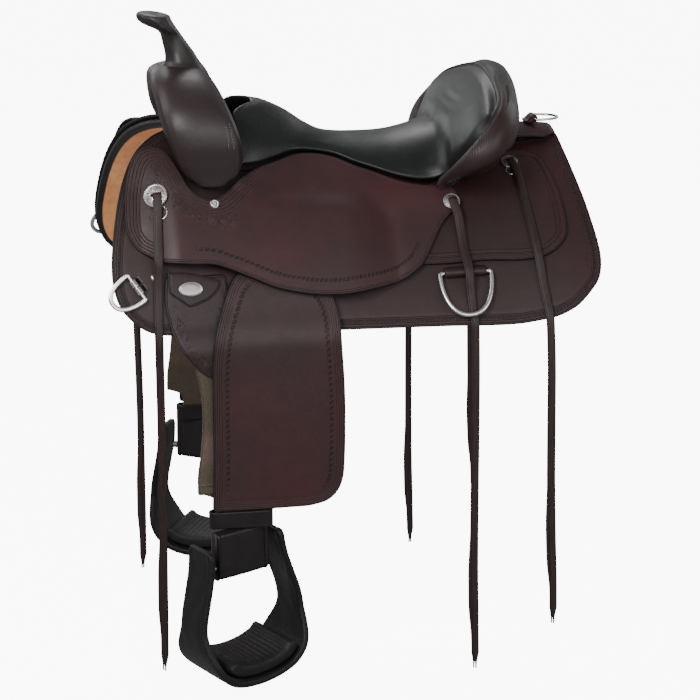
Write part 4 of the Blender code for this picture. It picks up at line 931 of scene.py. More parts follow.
def join(name, *obs):
    """One object of several meshes; the first keeps its place."""
    bm = bmesh.new()
    mats = []
    keys = sorted({a.name for o in obs for a in o.data.attributes if a.data_type == "FLOAT" and a.domain == "POINT"})
    lay = {k: bm.verts.layers.float.new(k) for k in keys}
    for o in obs:
        me = o.data
        index = {}
        for i, m in enumerate(me.materials):
            if m not in mats:
                mats.append(m)
            index[i] = mats.index(m)
        vs = [bm.verts.new(v.co) for v in me.vertices]
        for k in keys:
            if k in me.attributes:
                vals = np.zeros(len(vs), np.float32)
                me.attributes[k].data.foreach_get("value", vals)
                for v, val in zip(vs, vals):
                    v[lay[k]] = val
        for p in me.polygons:
            try:
                f = bm.faces.new([vs[i] for i in p.vertices])
            except ValueError:
                continue
            f.material_index = index.get(p.material_index, 0)
            f.smooth = True
    me = bpy.data.meshes.new(name)
    bm.to_mesh(me)
    bm.free()
    for m in mats:
        me.materials.append(m)
    for o in obs:
        bpy.data.objects.remove(o, do_unlink=True)
    ob = bpy.data.objects.new(name, me)
    scene.collection.objects.link(ob)
    return ob


# ----------------------------------------------------------------------------
# Cords first: the saddle strings, each a pair of leather thongs
# ----------------------------------------------------------------------------
def jw(x, s, over):
    return float(jockey_w(x, s)) + JOCKEY_T + over


FRONT = [("on", -0.3030, 0.1760, jw(-0.303, 0.178, 0.0092)), ("on", -0.3031, 0.1860, jw(-0.303, 0.186, 0.0088)),
         ("on", -0.3035, 0.2020, jw(-0.303, 0.202, 0.0062)),
         ("on", -0.3045, 0.222, jw(-0.3045, 0.222, 0.0048)), ("on", -0.3055, 0.248, jw(-0.3055, 0.248, 0.0048)),
         ("on", -0.3065, 0.272, jw(-0.3065, 0.268, 0.0046)), ("on", -0.3075, 0.292, 0.0120),
         ("on", -0.3085, 0.312, 0.0066), ("on", -0.3095, 0.340, 0.0046), ("on", -0.3100, 0.362, 0.0042),
         ("at", -0.3100, 0.2355, -0.1860), ("at", -0.3098, 0.2310, -0.2200), ("at", -0.3092, 0.2240, -0.2800),
         ("at", -0.3088, 0.2170, -0.3450), ("at", -0.3086, 0.2105, -0.4100), ("at", -0.3090, 0.2060, -0.4700),
         ("at", -0.3096, 0.2035, -0.5300), ("at", -0.3102, 0.2020, -0.6000), ("at", -0.3108, 0.2010, -0.6980)]
MID = [("on", 0.1250, 0.132, jw(0.125, 0.134, 0.0074)), ("on", 0.1262, 0.1400, jw(0.126, 0.140, 0.0070)),
       ("on", 0.1300, 0.158, 0.0176), ("on", 0.1315, 0.178, 0.0130),
       ("on", 0.1325, 0.205, 0.0115), ("on", 0.1335, 0.226, 0.0150), ("on", 0.1345, 0.244, 0.0182),
       ("on", 0.1350, 0.258, 0.0150), ("on", 0.1360, 0.273, 0.0080), ("on", 0.1368, 0.288, 0.0046),
       ("on", 0.1375, 0.305, 0.0043), ("on", 0.1385, 0.3180, 0.0046), ("at", 0.1390, 0.2525, -0.1960),
       ("at", 0.1395, 0.2545, -0.2400), ("at", 0.1400, 0.2550, -0.3200), ("at", 0.1405, 0.2550, -0.4300),
       ("at", 0.1415, 0.2550, -0.5400), ("at", 0.1440, 0.2550, -0.6300), ("at", 0.1465, 0.2550, -0.7040)]
REAR = [("on", 0.2240, 0.064, 0.0122), ("on", 0.2250, 0.0710, 0.0120), ("on", 0.2285, 0.086, 0.0112),
        ("on", 0.2300, 0.105, 0.0102), ("on", 0.2320, 0.150, 0.0102),
        ("on", 0.2350, 0.200, 0.0102), ("on", 0.2370, 0.230, 0.0102), ("on", 0.2385, 0.252, 0.0070),
        ("on", 0.2400, 0.275, 0.0044), ("on", 0.2420, 0.300, 0.0042), ("on", 0.2440, 0.328, 0.0046),
        ("at", 0.2452, 0.2690, -0.1950), ("at", 0.2465, 0.2720, -0.2400), ("at", 0.2480, 0.2725, -0.3200),
        ("at", 0.2500, 0.2725, -0.4100), ("at", 0.2535, 0.2725, -0.5000), ("at", 0.2570, 0.2725, -0.5700),
        ("at", 0.2590, 0.2725, -0.6320)]


def string_line(seq, spacing=0.005):
    pts = [back(p[1], p[2], p[3]) if p[0] == "on" else np.array([p[1], -p[2], p[3]]) for p in seq]
    f = path_fn(pts)
    d = f(np.linspace(0, 1, 600))
    L = np.concatenate([[0], np.cumsum(np.linalg.norm(np.diff(d, axis=0), axis=1))])
    n = int(L[-1] / spacing)
    t = np.linspace(0, L[-1], n)
    return np.stack([np.interp(t, L, d[:, k]) for k in range(3)], 1), L[-1]


def thong_pair(name, seq, half=0.0050, thick=0.0009, spread=0.0016, seed=0.0):
    line, length = string_line(seq)
    n = len(line)
    T = np.gradient(line, axis=0)
    T /= np.linalg.norm(T, axis=1)[:, None]
    parts, label_seed = [], seed
    for k, sgn in enumerate((-1.0, 1.0)):
        rings, rims = [], []
        m = n
        for i in range(m):
            u = i / (n - 1)
            ref = np.array([0.0, -1.0, 0.0])
            nn = unit(ref - np.dot(ref, T[i]) * T[i])
            ww = np.cross(T[i], nn)
            if ww[0] < 0:
                ww = -ww
            roam = 0.82 + 0.18 * math.sin(7.0 * u + seed) if k == 0 else 0.92 + 0.10 * math.sin(5.1 * u + 2.0 + seed)
            turn = 0.10 * math.sin(9.0 * u + 1.7 * k + seed)
            a_dir = ww * math.cos(turn) + nn * math.sin(turn)
            b_dir = nn * math.cos(turn) - ww * math.sin(turn)
            part = 0.0 if label_seed is None else float(step(0.70, 0.80, u) * (1 - step(0.86, 0.93, u)) + 0.5 * step(0.955, 1.0, u))
            c = line[i] + ww * (sgn * spread * roam + (sgn * 0.0026 * part if k == 0 else 0.0)) + nn * (0.0011 if k else -0.0011)
            h = half * (0.86 if k == 0 else 1.0) * (1 - 0.12 * float(step(0.86, 0.97, u)))
            if i > m - 6:
                cut = max(0.30, (m - 1 - i) / 5.0)
                c = c + ww * ((1 - cut) * h * 0.25 * (-1 if k else 1))
                h *= cut
            sec = ellipse(h, thick, 10, 3.4)
            rings.append([c + a_dir * a + b_dir * b for a, b in sec])
            rims += [(h - abs(a)) * 1000 for a, b in sec]
        parts.append(skin(name + "_%d" % k, rings, m_string, attrs={"rim": rims}))
    return join(name, *parts), line, length


for label, seq, nodes, seed in (("string_front", FRONT, ("string_front_upper", "string_front_lower"), 0.3),
                                ("string_mid", MID, ("string_mid",), 1.1), ("string_rear", REAR, ("string_rear",), 2.3)):
    near, line, length = thong_pair("thongs_" + label[7:] + "_near", seq, seed=seed)
    off = twin(near, "thongs_" + label[7:] + "_off")
    for ob, tag, sg in ((near, "left", 1.0), (off, "right", -1.0)):
        pts = [(p[0], sg * p[1], p[2]) for p in line]
        if label == "string_front":
            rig.blend(ob, "root", "front_string_" + tag, start=(-0.31, sg * -0.2355, -0.168), end=(-0.31, sg * -0.2355, -0.196))
        else:
            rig.ride(ob, "root")
        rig.replaces(ob, *[n + "_" + tag for n in nodes])
        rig.slot(ob, "string_leather")
        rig.cord(ob, exit=pts[0], length=float(length), diameter=0.0118, far_end="bare", stiffness="limp", lay="hanging", path=pts)


# ----------------------------------------------------------------------------
# Leather panels of the sides
# ----------------------------------------------------------------------------
SKIRT_FRONT = [(-0.250, 0.004), (-0.272, 0.040), (-0.300, 0.068), (-0.327, 0.105), (-0.345, 0.147),
               (-0.358, 0.196), (-0.367, 0.250), (-0.371, 0.290), (-0.369, 0.322), (-0.360, 0.347),
               (-0.345, 0.362)]
SKIRT_BOTTOM = [(-0.345, 0.362), (-0.325, 0.3715), (-0.300, 0.371), (-0.250, 0.356), (-0.200, 0.340),
                (-0.100, 0.322), (0.0, 0.317), (0.100, 0.318), (0.200, 0.328), (0.240, 0.329),
                (0.262, 0.328), (0.286, 0.320), (0.302, 0.308)]
SKIRT_REAR = [(0.308, 0.004), (0.309, 0.020), (0.312, 0.064), (0.316, 0.107), (0.3215, 0.156),
              (0.326, 0.202), (0.329, 0.237), (0.328, 0.262), (0.321, 0.286), (0.302, 0.308)]
SKIRT_TOP = [(-0.250, 0.004), (0.0, 0.004), (0.308, 0.004)]
JOCKEY_FRONT = [(-0.298, 0.097), (-0.320, 0.108), (-0.334, 0.128), (-0.344, 0.164), (-0.348, 0.205),
                (-0.347, 0.236), (-0.334, 0.258)]
JOCKEY_BOTTOM = [(-0.334, 0.258), (-0.315, 0.266), (-0.296, 0.271), (-0.262, 0.265), (-0.231, 0.256),
                 (-0.211, 0.256), (-0.178, 0.262), (-0.146, 0.270), (-0.110, 0.274), (-0.084, 0.275),
                 (-0.040, 0.273), (0.003, 0.263), (0.045, 0.247), (0.070, 0.230)]
JOCKEY_REAR = [(0.128, 0.104), (0.1365, 0.124), (0.1325, 0.142), (0.116, 0.156), (0.101, 0.177), (0.087, 0.203),
               (0.070, 0.230)]
JOCKEY_TOP = [(-0.298, 0.097), (-0.282, 0.104), (-0.269, 0.129), (-0.257, 0.155), (-0.240, 0.1640),
              (-0.220, 0.160), (-0.198, 0.138), (-0.177, 0.109), (-0.153, 0.086), (-0.123, 0.066),
              (-0.092, 0.047), (-0.062, 0.042), (-0.034, 0.048), (-0.008, 0.063), (0.019, 0.075),
              (0.045, 0.089), (0.072, 0.099), (0.100, 0.104), (0.128, 0.104)]
REAR_FRONT = [(0.060, 0.120), (0.056, 0.160), (0.060, 0.195), (0.064, 0.226)]
REAR_BOTTOM = [(0.064, 0.226), (0.110, 0.2275), (0.164, 0.2285), (0.215, 0.236), (0.246, 0.237),
               (0.266, 0.230)]
REAR_REAR = [(0.244, 0.040), (0.270, 0.060), (0.281, 0.100), (0.286, 0.140), (0.287, 0.183),
             (0.283, 0.212), (0.266, 0.230)]
REAR_TOP = [(0.060, 0.120), (0.110, 0.085), (0.150, 0.060), (0.200, 0.044), (0.244, 0.040)]


def around(front, rear, top, bottom, soften=6, step_len=0.0022):
    return outline_of([top, rear, bottom[::-1], front[::-1]], step_len, soften)


skirt_line = around(SKIRT_FRONT, SKIRT_REAR, SKIRT_TOP, SKIRT_BOTTOM)
jockey_line = around(JOCKEY_FRONT, JOCKEY_REAR, JOCKEY_TOP, JOCKEY_BOTTOM, 5)
rear_line = around(REAR_FRONT, REAR_REAR, REAR_TOP, REAR_BOTTOM)


def lining_line():
    """The lining's cut, a little inside the skirt's."""
    P = skirt_line
    tan = np.roll(P, -1, 0) - np.roll(P, 1, 0)
    tan /= np.linalg.norm(tan, axis=1)[:, None]
    return P + np.stack([-tan[:, 1], tan[:, 0]], 1) * 0.0022


both(lambda n: panel(n, skirt_line, back, lambda x, s: 0.0 * x, 0.0050, m_skirt,
                     grooves=[(0.0032, 0.0005, 0.0004), (0.0066, 0.0005, 0.0005), (0.0145, 0.0005, 0.0003)]),
     "skirt_leather", nodes="skirt", slot="brown_leather")
both(lambda n: panel(n, lining_line(), back, lambda x, s: -0.0064 + 0.0 * x, 0.0105, m_lining, inner=0.010, edge_r=0.0035, under=True),
     "skirt_lining_leather", nodes="skirt_lining", slot="lining")


def jockey_zone(x, s, run):
    front = (1 - step(-0.322, -0.300, x)) * step(0.125, 0.150, s)
    return np.maximum(front, (1 - step(-0.170, -0.148, x)) * (1 - step(0.178, 0.196, s)))


both(lambda n: panel(n, jockey_line, back, lambda x, s: jockey_w(x, s) + JOCKEY_T, 0.0042, m_jockey,
                     grooves=[(0.0028, 0.0005, 0.0004), (0.0052, 0.0005, 0.0003)],
                     zone_grooves=[(0.0030, 0.0007, 0.0005), (0.0074, 0.0007, 0.0006), (0.0120, 0.0007, 0.0005),
                                   (0.0166, 0.0007, 0.0005), (0.0210, 0.0007, 0.0004)],
                     zone=jockey_zone,
                     extra={"rope": lambda x, s, rim, run: np.maximum(step(-0.262, -0.235, x) * step(0.185, 0.205, s),
                                                                      0.8 * step(0.0, 0.03, x) * step(0.215, 0.232, s)),
                            "notch": lambda x, s, rim, run: (1 - step(-0.205, -0.185, x)) * (1 - step(0.195, 0.215, s))
                            * (1 - jockey_zone(x, s, run)),
                            "mottle": lambda x, s, rim, run: (1 - step(-0.200, -0.180, x)) * (1 - step(0.195, 0.225, s))
                            * step(0.0220, 0.0245, rim) * (1 - step(0.037, 0.046, rim))
                            * (1 - (1 - step(-0.325, -0.310, x)) * step(0.135, 0.155, s))}),
     "seat_jockey_leather", nodes="seat_jockey", slot="brown_leather")
both(lambda n: panel(n, rear_line, back, lambda x, s: 0.0056 + 0.0 * x, 0.0042, m_rear,
                     grooves=[(0.0024, 0.0005, 0.0003), (0.0086, 0.0006, 0.0005), (0.0108, 0.0005, 0.0004)]),
     "rear_jockey_leather", nodes="rear_jockey", slot="brown_leather")

# rigging leather, its keeper with the plain badge plate
_rig_left = smooth_fn([-0.234, -0.225, -0.208, -0.190, -0.169, -0.132, -0.096],
                      [-0.240, -0.252, -0.268, -0.281, -0.291, -0.299, -0.297])
_rig_right = smooth_fn([-0.234, -0.200, -0.160, -0.096], [-0.214, -0.206, -0.206, -0.212])


def rig_place(x, z, w):
    x, z, w = np.broadcast_arrays(x, z, w)
    on = back_y(x, np.maximum(z, -0.1745), 0.0046)
    k = step(0.158, 0.200, -z)
    return np.stack([x, -(on * (1 - k) + RIGGING_HANG_Y * k + w), z], -1)


zz = np.linspace(-0.096, -0.234, 40)
rig_line = outline_of([[(float(_rig_left(z)), z) for z in zz], [(-0.240, -0.234), (-0.227, -0.2345), (-0.214, -0.234)],
                       [(float(_rig_right(z)), z) for z in zz[::-1]], [(-0.212, -0.096), (-0.25, -0.096), (-0.297, -0.096)]],
                      0.0020, 3)
both(lambda n: panel(n, rig_line, rig_place, lambda x, z: 0.0 * x, 0.0034, m_rig, grooves=[(0.0030, 0.0005, 0.0004)],
                     extra={"mottle": lambda x, z, rim, run: step(0.0045, 0.0065, rim) * (1 - step(0.016, 0.022, rim))
                            * step(0.125, 0.140, -z)}, outward=(0, -1, 0)),
     "rigging_skirt_leather", nodes="rigging_leather", slot="brown_leather")
keeper_line = outline_of([[(-0.2930, 0.280), (-0.2935, 0.296), (-0.2925, 0.3105)], [(-0.2925, 0.3105), (-0.2780, 0.3165), (-0.2645, 0.3215)],
                          [(-0.2645, 0.3215), (-0.2510, 0.3125), (-0.2385, 0.3030)],
                          [(-0.2385, 0.3030), (-0.2290, 0.2920), (-0.2215, 0.2800), (-0.2200, 0.2700)],
                          [(-0.2200, 0.2700), (-0.2560, 0.2720), (-0.2930, 0.2800)]], 0.0014, 1)
both(lambda n: panel(n, keeper_line, back, lambda x, s: 0.0079 + 0.0 * x, 0.0030, m_keeper, grooves=[(0.0020, 0.0004, 0.0004)],
                     inner=0.005, edge_r=0.0009),
     "rigging_keeper", slot="brown_leather")

# fender
FEND = []
for s_, w_ in ((0.130, 0.0122), (0.150, 0.0132), (0.180, 0.0146), (0.210, 0.0156), (0.240, 0.0160), (0.270, 0.0160),
               (0.295, 0.0158)):
    p_ = back(PIVOT_X, s_, w_)
    FEND.append((float(p_[2]), float(-p_[1])))
FEND += [(-0.165, 0.2500), (-0.183, 0.2560), (-0.205, 0.2571), (-0.240, HANG_Y), (-0.350, HANG_Y), (FENDER_LOW_Z, HANG_Y)]
FEND = sorted(FEND)
_fend_y = smooth_fn([p[0] for p in FEND], [p[1] for p in FEND])
FEND_TOP_Z = FEND[-1][0]
_fl = smooth_fn([-0.431, -0.390, -0.354, -0.268, -0.212, -0.169, -0.129, -0.104, -0.088, -0.070, -0.050, 0.020],
                [-0.2410, -0.2395, -0.2385, -0.238, -0.237, -0.231, -0.2165, -0.205, -0.189, -0.171, -0.161, -0.157])
_fr = smooth_fn([-0.431, -0.4285, -0.423, -0.414, -0.400, -0.378, -0.306, -0.249, -0.193, -0.150, -0.124, -0.106, -0.088, -0.070, -0.050, 0.020],
                [-0.103, -0.0870, -0.0735, -0.0630, -0.0550, -0.0508, -0.049, -0.050, -0.0535, -0.0560, -0.064, -0.078, -0.092, -0.104, -0.113, -0.120])


def fender_place(x, z, w):
    x, z, w = np.broadcast_arrays(x, z, w)
    # the hanging leather is not dead flat: it bows a little between its edges
    bow = 0.0011 * np.sin(np.clip((x + 0.24) / 0.19, 0, 1) * np.pi) * step(0.20, 0.30, -z)
    return np.stack([x, -(_fend_y(z) + w - 0.0009 + bow), z], -1)


zz = np.linspace(FEND_TOP_Z, FENDER_LOW_Z, 90)
fl_pts = [(float(_fl(z)), z) for z in zz]
fr_pts = [(float(_fr(z)), z) for z in zz[::-1]]
fender_line = outline_of([fl_pts, [fl_pts[-1], (-0.17, FENDER_LOW_Z - 0.0006), fr_pts[0]], fr_pts,
                          [fr_pts[-1], (-0.138, FEND_TOP_Z), fl_pts[0]]], 0.0022, 3)
both(lambda n: panel(n, fender_line, fender_place, lambda x, z: 0.0 * x, 0.0046, m_fender,
                     grooves=[(0.0030, 0.0006, 0.0005), (0.0062, 0.0006, 0.0005), (0.0092, 0.00055, 0.0004),
                              (0.0126, 0.0005, 0.0002)],
                     extra={"rope": lambda x, z, rim, run: step(FENDER_LOW_Z + 0.020, FENDER_LOW_Z + 0.045, z)
                            * (1 - step(-0.115, -0.10, z))}, outward=(0, -1, 0)),
     "fender_leather", body="fender", nodes="fender", slot="brown_leather")

# stirrup strap of webbing, with its end folded back and stitched
_sl = smooth_fn([-0.4560, -0.420, -0.414, -0.405, -0.384, -0.340, -0.298, -0.261, -0.222],
                [-0.236, -0.236, -0.240, -0.261, -0.261, -0.255, -0.252, -0.2535, -0.2610])


def strap_place(x, z, w):
    x, z, w = np.broadcast_arrays(x, z, w)
    return np.stack([x, -(STRAP_Y + w), z], -1)


def strap(name):
    zs = np.linspace(-0.222, -0.456, 80)
    left = [(float(-0.2610 if -0.405 <= z < -0.384 else _sl(z)), z) for z in zs]
    line = outline_of([left, [left[-1], (-0.20, -0.456), (-0.162, -0.456)],
                       [(-0.162, -0.456), (-0.163, -0.420), (-0.166, -0.40), (-0.166, -0.222)],
                       [(-0.166, -0.222), (-0.21, -0.222), left[0]]], 0.0022, 1)
    a = panel(name + "_a", line, strap_place, lambda x, z: 0.0 * x, 0.0028, m_web, inner=0.006, edge_r=0.0007, outward=(0, -1, 0))
    fold = outline_of([[(-0.2612, -0.3935), (-0.2612, -0.4085)], [(-0.2612, -0.4085), (-0.225, -0.4085), (-0.170, -0.4085)],
                       [(-0.170, -0.4085), (-0.170, -0.3935)], [(-0.170, -0.3935), (-0.22, -0.3935), (-0.2612, -0.3935)]], 0.0016, 1)
    b = panel(name + "_b", fold, strap_place, lambda x, z: 0.0024 + 0.0 * x, 0.0027, m_web, inner=0.004, edge_r=0.0010, outward=(0, -1, 0))
    return join(name, a, b)


both(strap, "stirrup_strap_webbing", body="fender", nodes="stirrup_strap", slot="webbing")

# ----------------------------------------------------------------------------
# Fork cover and horn
# ----------------------------------------------------------------------------
FORK_OUT = [(0.000, 0.1700), (0.026, 0.1695), (0.054, 0.1660), (0.082, 0.1590), (0.108, 0.1465), (0.130, 0.1280),
            (0.143, 0.1040), (0.146, 0.0770), (0.142, 0.0510), (0.138, 0.0300), (0.136, 0.0140)]
FORK_IN = [(0.000, 0.1290), (0.017, 0.1280), (0.035, 0.1245), (0.052, 0.1175), (0.067, 0.1075), (0.080, 0.0965),
           (0.091, 0.0850), (0.101, 0.0740), (0.109, 0.0635), (0.116, 0.0540), (0.121, 0.0460)]
FORK_FRONT = [-0.295, -0.2960, -0.2965, -0.2955, -0.2935, -0.2910, -0.287, -0.280, -0.272, -0.264, -0.254]
FORK_REAR = [-0.217, -0.213, -0.208, -0.203, -0.197, -0.190, -0.183, -0.1775, -0.1755, -0.1785, -0.187]
_idx = list(range(11))
_foy, _foz = smooth_fn(_idx, [p[0] for p in FORK_OUT]), smooth_fn(_idx, [p[1] for p in FORK_OUT])
_fiy, _fiz = smooth_fn(_idx, [p[0] for p in FORK_IN]), smooth_fn(_idx, [p[1] for p in FORK_IN])
_ffx, _frx = smooth_fn(_idx, FORK_FRONT), smooth_fn(_idx, FORK_REAR)


def fork_ring(t, n=72, shrink=1.0, drop=0.0):
    a = abs(t) * 10
    sg = 1.0 if t >= 0 else -1.0
    o = np.array([0.0, -sg * float(_foy(a)), float(_foz(a))])
    i = np.array([0.0, -sg * float(_fiy(a)), float(_fiz(a))])
    mid, rad = (o + i) / 2, (o - i) / 2
    hr = np.linalg.norm(rad)
    rad = rad / hr
    xf, xr = float(_ffx(a)), float(_frx(a))
    hx, cx = (xr - xf) / 2, (xf + xr) / 2
    soft_foot = 1 - 0.20 * float(step(0.90, 1.0, abs(t))) ** 1.6
    hx = hx * soft_foot
    ang = 2 * np.pi * np.arange(n) / n
    c, s = np.cos(ang), np.sin(ang)
    e = 2.0 / 2.6
    px, pr = np.sign(c) * np.abs(c) ** e * hx, np.sign(s) * np.abs(s) ** e * hr
    # welts where the cover is sewn, along the rear and front edges of the arch
    welt = 0.0013 * np.exp(-((ang - 0.62) / 0.045) ** 2) + 0.0009 * np.exp(-((ang - 2.62) / 0.05) ** 2)
    groove = -0.0009 * np.exp(-((ang - 0.74) / 0.035) ** 2) - 0.0007 * np.exp(-((ang - 2.49) / 0.04) ** 2)
    ln = np.hypot(px, pr)
    k = shrink * (1 + (welt + groove) / ln)
    P = np.array([cx, 0, 0]) + mid
    pts = P[None] + np.outer(px * k, [1, 0, 0]) + np.outer(pr * k, rad)
    down = np.cross(rad, [1, 0, 0])
    if down[2] > 0:
        down = -down
    return pts + down[None] * drop


ts = np.concatenate([np.linspace(-1, 1, 131)])
rings = [fork_ring(-1, shrink=k, drop=d) for k, d in ((0.25, 0.0048), (0.62, 0.0044), (0.85, 0.0032), (0.95, 0.0018), (0.985, 0.0008))]
rings += [fork_ring(t) for t in ts]
rings += [fork_ring(1, shrink=k, drop=d) for k, d in ((0.985, 0.0008), (0.95, 0.0018), (0.85, 0.0032), (0.62, 0.0044), (0.25, 0.0048))]
swell = skin("swell_leather", rings, m_swell)
single(swell, nodes=["swell_cover"], slot="brown_leather")

# two short rows of light thread on the near and off shoulder, as on the seam of the cover
def swell_point(t, ang_i, lift=0.0006):
    R = fork_ring(t)
    p = R[ang_i]
    return p + unit(p - R.mean(0)) * lift


def thread_row(name, t0, t1, ang0, ang1, n=9):
    rows = []
    for k in range(n):
        u0, u1 = (k + 0.18) / n, (k + 0.82) / n
        pts = []
        for u in np.linspace(u0, u1, 4):
            t = t0 + (t1 - t0) * u
            a = ang0 + (ang1 - ang0) * u
            i0 = int(a)
            p = swell_point(t, i0 % 72) * (1 - (a - i0)) + swell_point(t, (i0 + 1) % 72) * (a - i0)
            pts.append(p)
        rows.append(sweep(name + str(k), pts, ellipse(0.00045, 0.00040, 6), m_thread, up=(0, -0.9, 0.3)))
    return join(name, *rows)


def thread_material():
    g = Graph("m_thread", Specular_IOR_Level=0.3)
    n = g.noise(900.0, 3.0, 0.6)
    return g.done(g.mix(n, (0.10, 0.075, 0.075), (0.30, 0.26, 0.25)), 0.7, g.bump(n, 0.0003, 0.6))


m_thread = thread_material()
both(lambda n: join(n, thread_row(n + "a", 0.60, 0.72, 11.0, 12.0), thread_row(n + "b", 0.58, 0.73, 9.0, 9.8)), "swell_stitching")

# front edge, rear edge and half width of each ring, from the neck up over the cap
HORN_RINGS = [(-0.2800, 0.1640, -0.2150, 0.1625, 0.0335), (-0.2762, 0.1692, -0.2180, 0.1676, 0.0302), (-0.2724, 0.1755, -0.2228, 0.1745, 0.0252),
              (-0.2726, 0.1860, -0.2296, 0.1860, 0.0204), (-0.2745, 0.1965, -0.2368, 0.1960, 0.0180), (-0.2766, 0.2065, -0.2441, 0.2062, 0.0173),
              (-0.2786, 0.2145, -0.2492, 0.2136, 0.0190), (-0.2850, 0.2208, -0.2532, 0.2194, 0.0238), (-0.2975, 0.2268, -0.2572, 0.2252, 0.0284),
              (-0.3082, 0.2325, -0.2602, 0.2300, 0.0308), (-0.3120, 0.2382, -0.2624, 0.2342, 0.0318), (-0.3124, 0.2424, -0.2636, 0.2376, 0.0314),
              (-0.3096, 0.2454, -0.2656, 0.2403, 0.0290), (-0.3040, 0.2462, -0.2706, 0.2415, 0.0232), (-0.2960, 0.2457, -0.2786, 0.2420, 0.0140),
              (-0.2902, 0.2447, -0.2842, 0.2432, 0.0055)]
HORN = [((a + c) / 2, (b + d) / 2, math.hypot(c - a, d - b) / 2, w, math.degrees(math.atan2(b - d, c - a))) for a, b, c, d, w in HORN_RINGS]
hf = path_fn([(h[0], h[1], h[2], h[3], h[4]) for h in HORN])
rings, hrow = [], 110
hp = [np.array(h[:4]) for h in HORN]
_hk = np.concatenate([[0], np.cumsum([np.linalg.norm(b - a) for a, b in zip(hp, hp[1:])])])
_hk = _hk / _hk[-1]
_hc = [smooth_fn(_hk, [h[i] for h in HORN]) for i in range(5)]
for u in np.linspace(0, 1, hrow):
    cx, cz, hx, hy, tilt = [float(f(u)) for f in _hc]
    a = math.radians(tilt)
    g_ = 2 * np.pi * np.arange(84) / 84
    # leather gathered round the neck and pleated under the cap
    pleat = 0.030 * step(0.22, 0.45, u) * (1 - step(0.70, 0.80, u))
    wob = 1 + pleat * np.sin(11 * g_ + 2.2 * np.sin(2 * g_)) + 0.010 * (1 - step(0.3, 0.5, u)) * np.sin(5 * g_ + 1.3)
    lip = 1 + 0.022 * math.exp(-((u - 0.765) / 0.014) ** 2) - 0.015 * math.exp(-((u - 0.80) / 0.010) ** 2)
    rings.append(np.stack([cx - hx * wob * lip * np.cos(g_) * math.cos(a), hy * wob * lip * np.sin(g_),
                           cz + hx * wob * lip * np.cos(g_) * math.sin(a)], -1))
horn = skin("horn_leather", rings, m_horn)
single(horn, nodes=["horn"], slot="brown_leather")

# ----------------------------------------------------------------------------
# Seat and cantle
# ----------------------------------------------------------------------------
SEAT = [(-0.147, 0.1180, -0.1745, 0.108, 0.0405, 3.6), (-0.121, 0.1085, -0.1485, 0.100, 0.0420, 3.0),
        (-0.096, 0.0962, -0.1200, 0.084, 0.0470, 2.4), (-0.070, 0.0786, -0.0890, 0.067, 0.0530, 2.0),
        (-0.045, 0.0658, -0.0600, 0.063, 0.0520, 2.0), (-0.020, 0.0608, -0.0330, 0.068, 0.0470, 2.0),
        (0.005, 0.0598, -0.0070, 0.082, 0.0370, 2.1), (0.030, 0.0594, 0.0200, 0.094, 0.0290, 2.2),
        (0.055, 0.0608, 0.0460, 0.105, 0.0205, 2.3), (0.080, 0.0655, 0.0720, 0.114, 0.0150, 2.4),
        (0.103, 0.0715, 0.1000, 0.119, 0.0140, 2.7), (0.123, 0.0785, 0.1190, 0.127, 0.0225, 3.0),
        (0.140, 0.0895, 0.1305, 0.1500, 0.0405, 3.3), (0.154, 0.1010, 0.1425, 0.1720, 0.0615, 3.4),
        (0.168, 0.1145, 0.1540, 0.1835, 0.0835, 3.3), (0.182, 0.1310, 0.1655, 0.1840, 0.0990, 2.7),
        (0.1970, 0.1520, 0.1765, 0.1735, 0.1145, 1.9)]
_k = list(range(len(SEAT)))
_seat = [smooth_fn(_k, [row[c] for row in SEAT]) for c in range(6)]


def seat_top(u, t):
    a = u * (len(SEAT) - 1)
    xc, zc, xe, ye, ze, p = [f(a) for f in _seat]
    m = np.abs(t)
    end = step(len(SEAT) - 2.4, len(SEAT) - 1.0, a)
    front = 1 - step(0.0, 3.0, a)
    bend = m ** 2 * (1 - end) + m ** 4.5 * end
    bend = bend * (1 - front) + step(0.08, 0.62, m) * front
    xe = xe - 0.0065 * front * (4 * m * (1 - m)) ** 1.5
    return np.stack([xc + (xe - xc) * bend, -t * ye, zc + (ze - zc) * m ** p], -1)


def eased(n, edge, k=5, wrap=1.0):
    """0..1 in n even steps, with k extra close to each end within edge."""
    base = np.linspace(0, 1, n)
    near = edge * (np.arange(1, k + 1) / (k + 1)) ** 1.5
    return np.unique(np.round(np.concatenate([base, near, 1 - near]), 6))


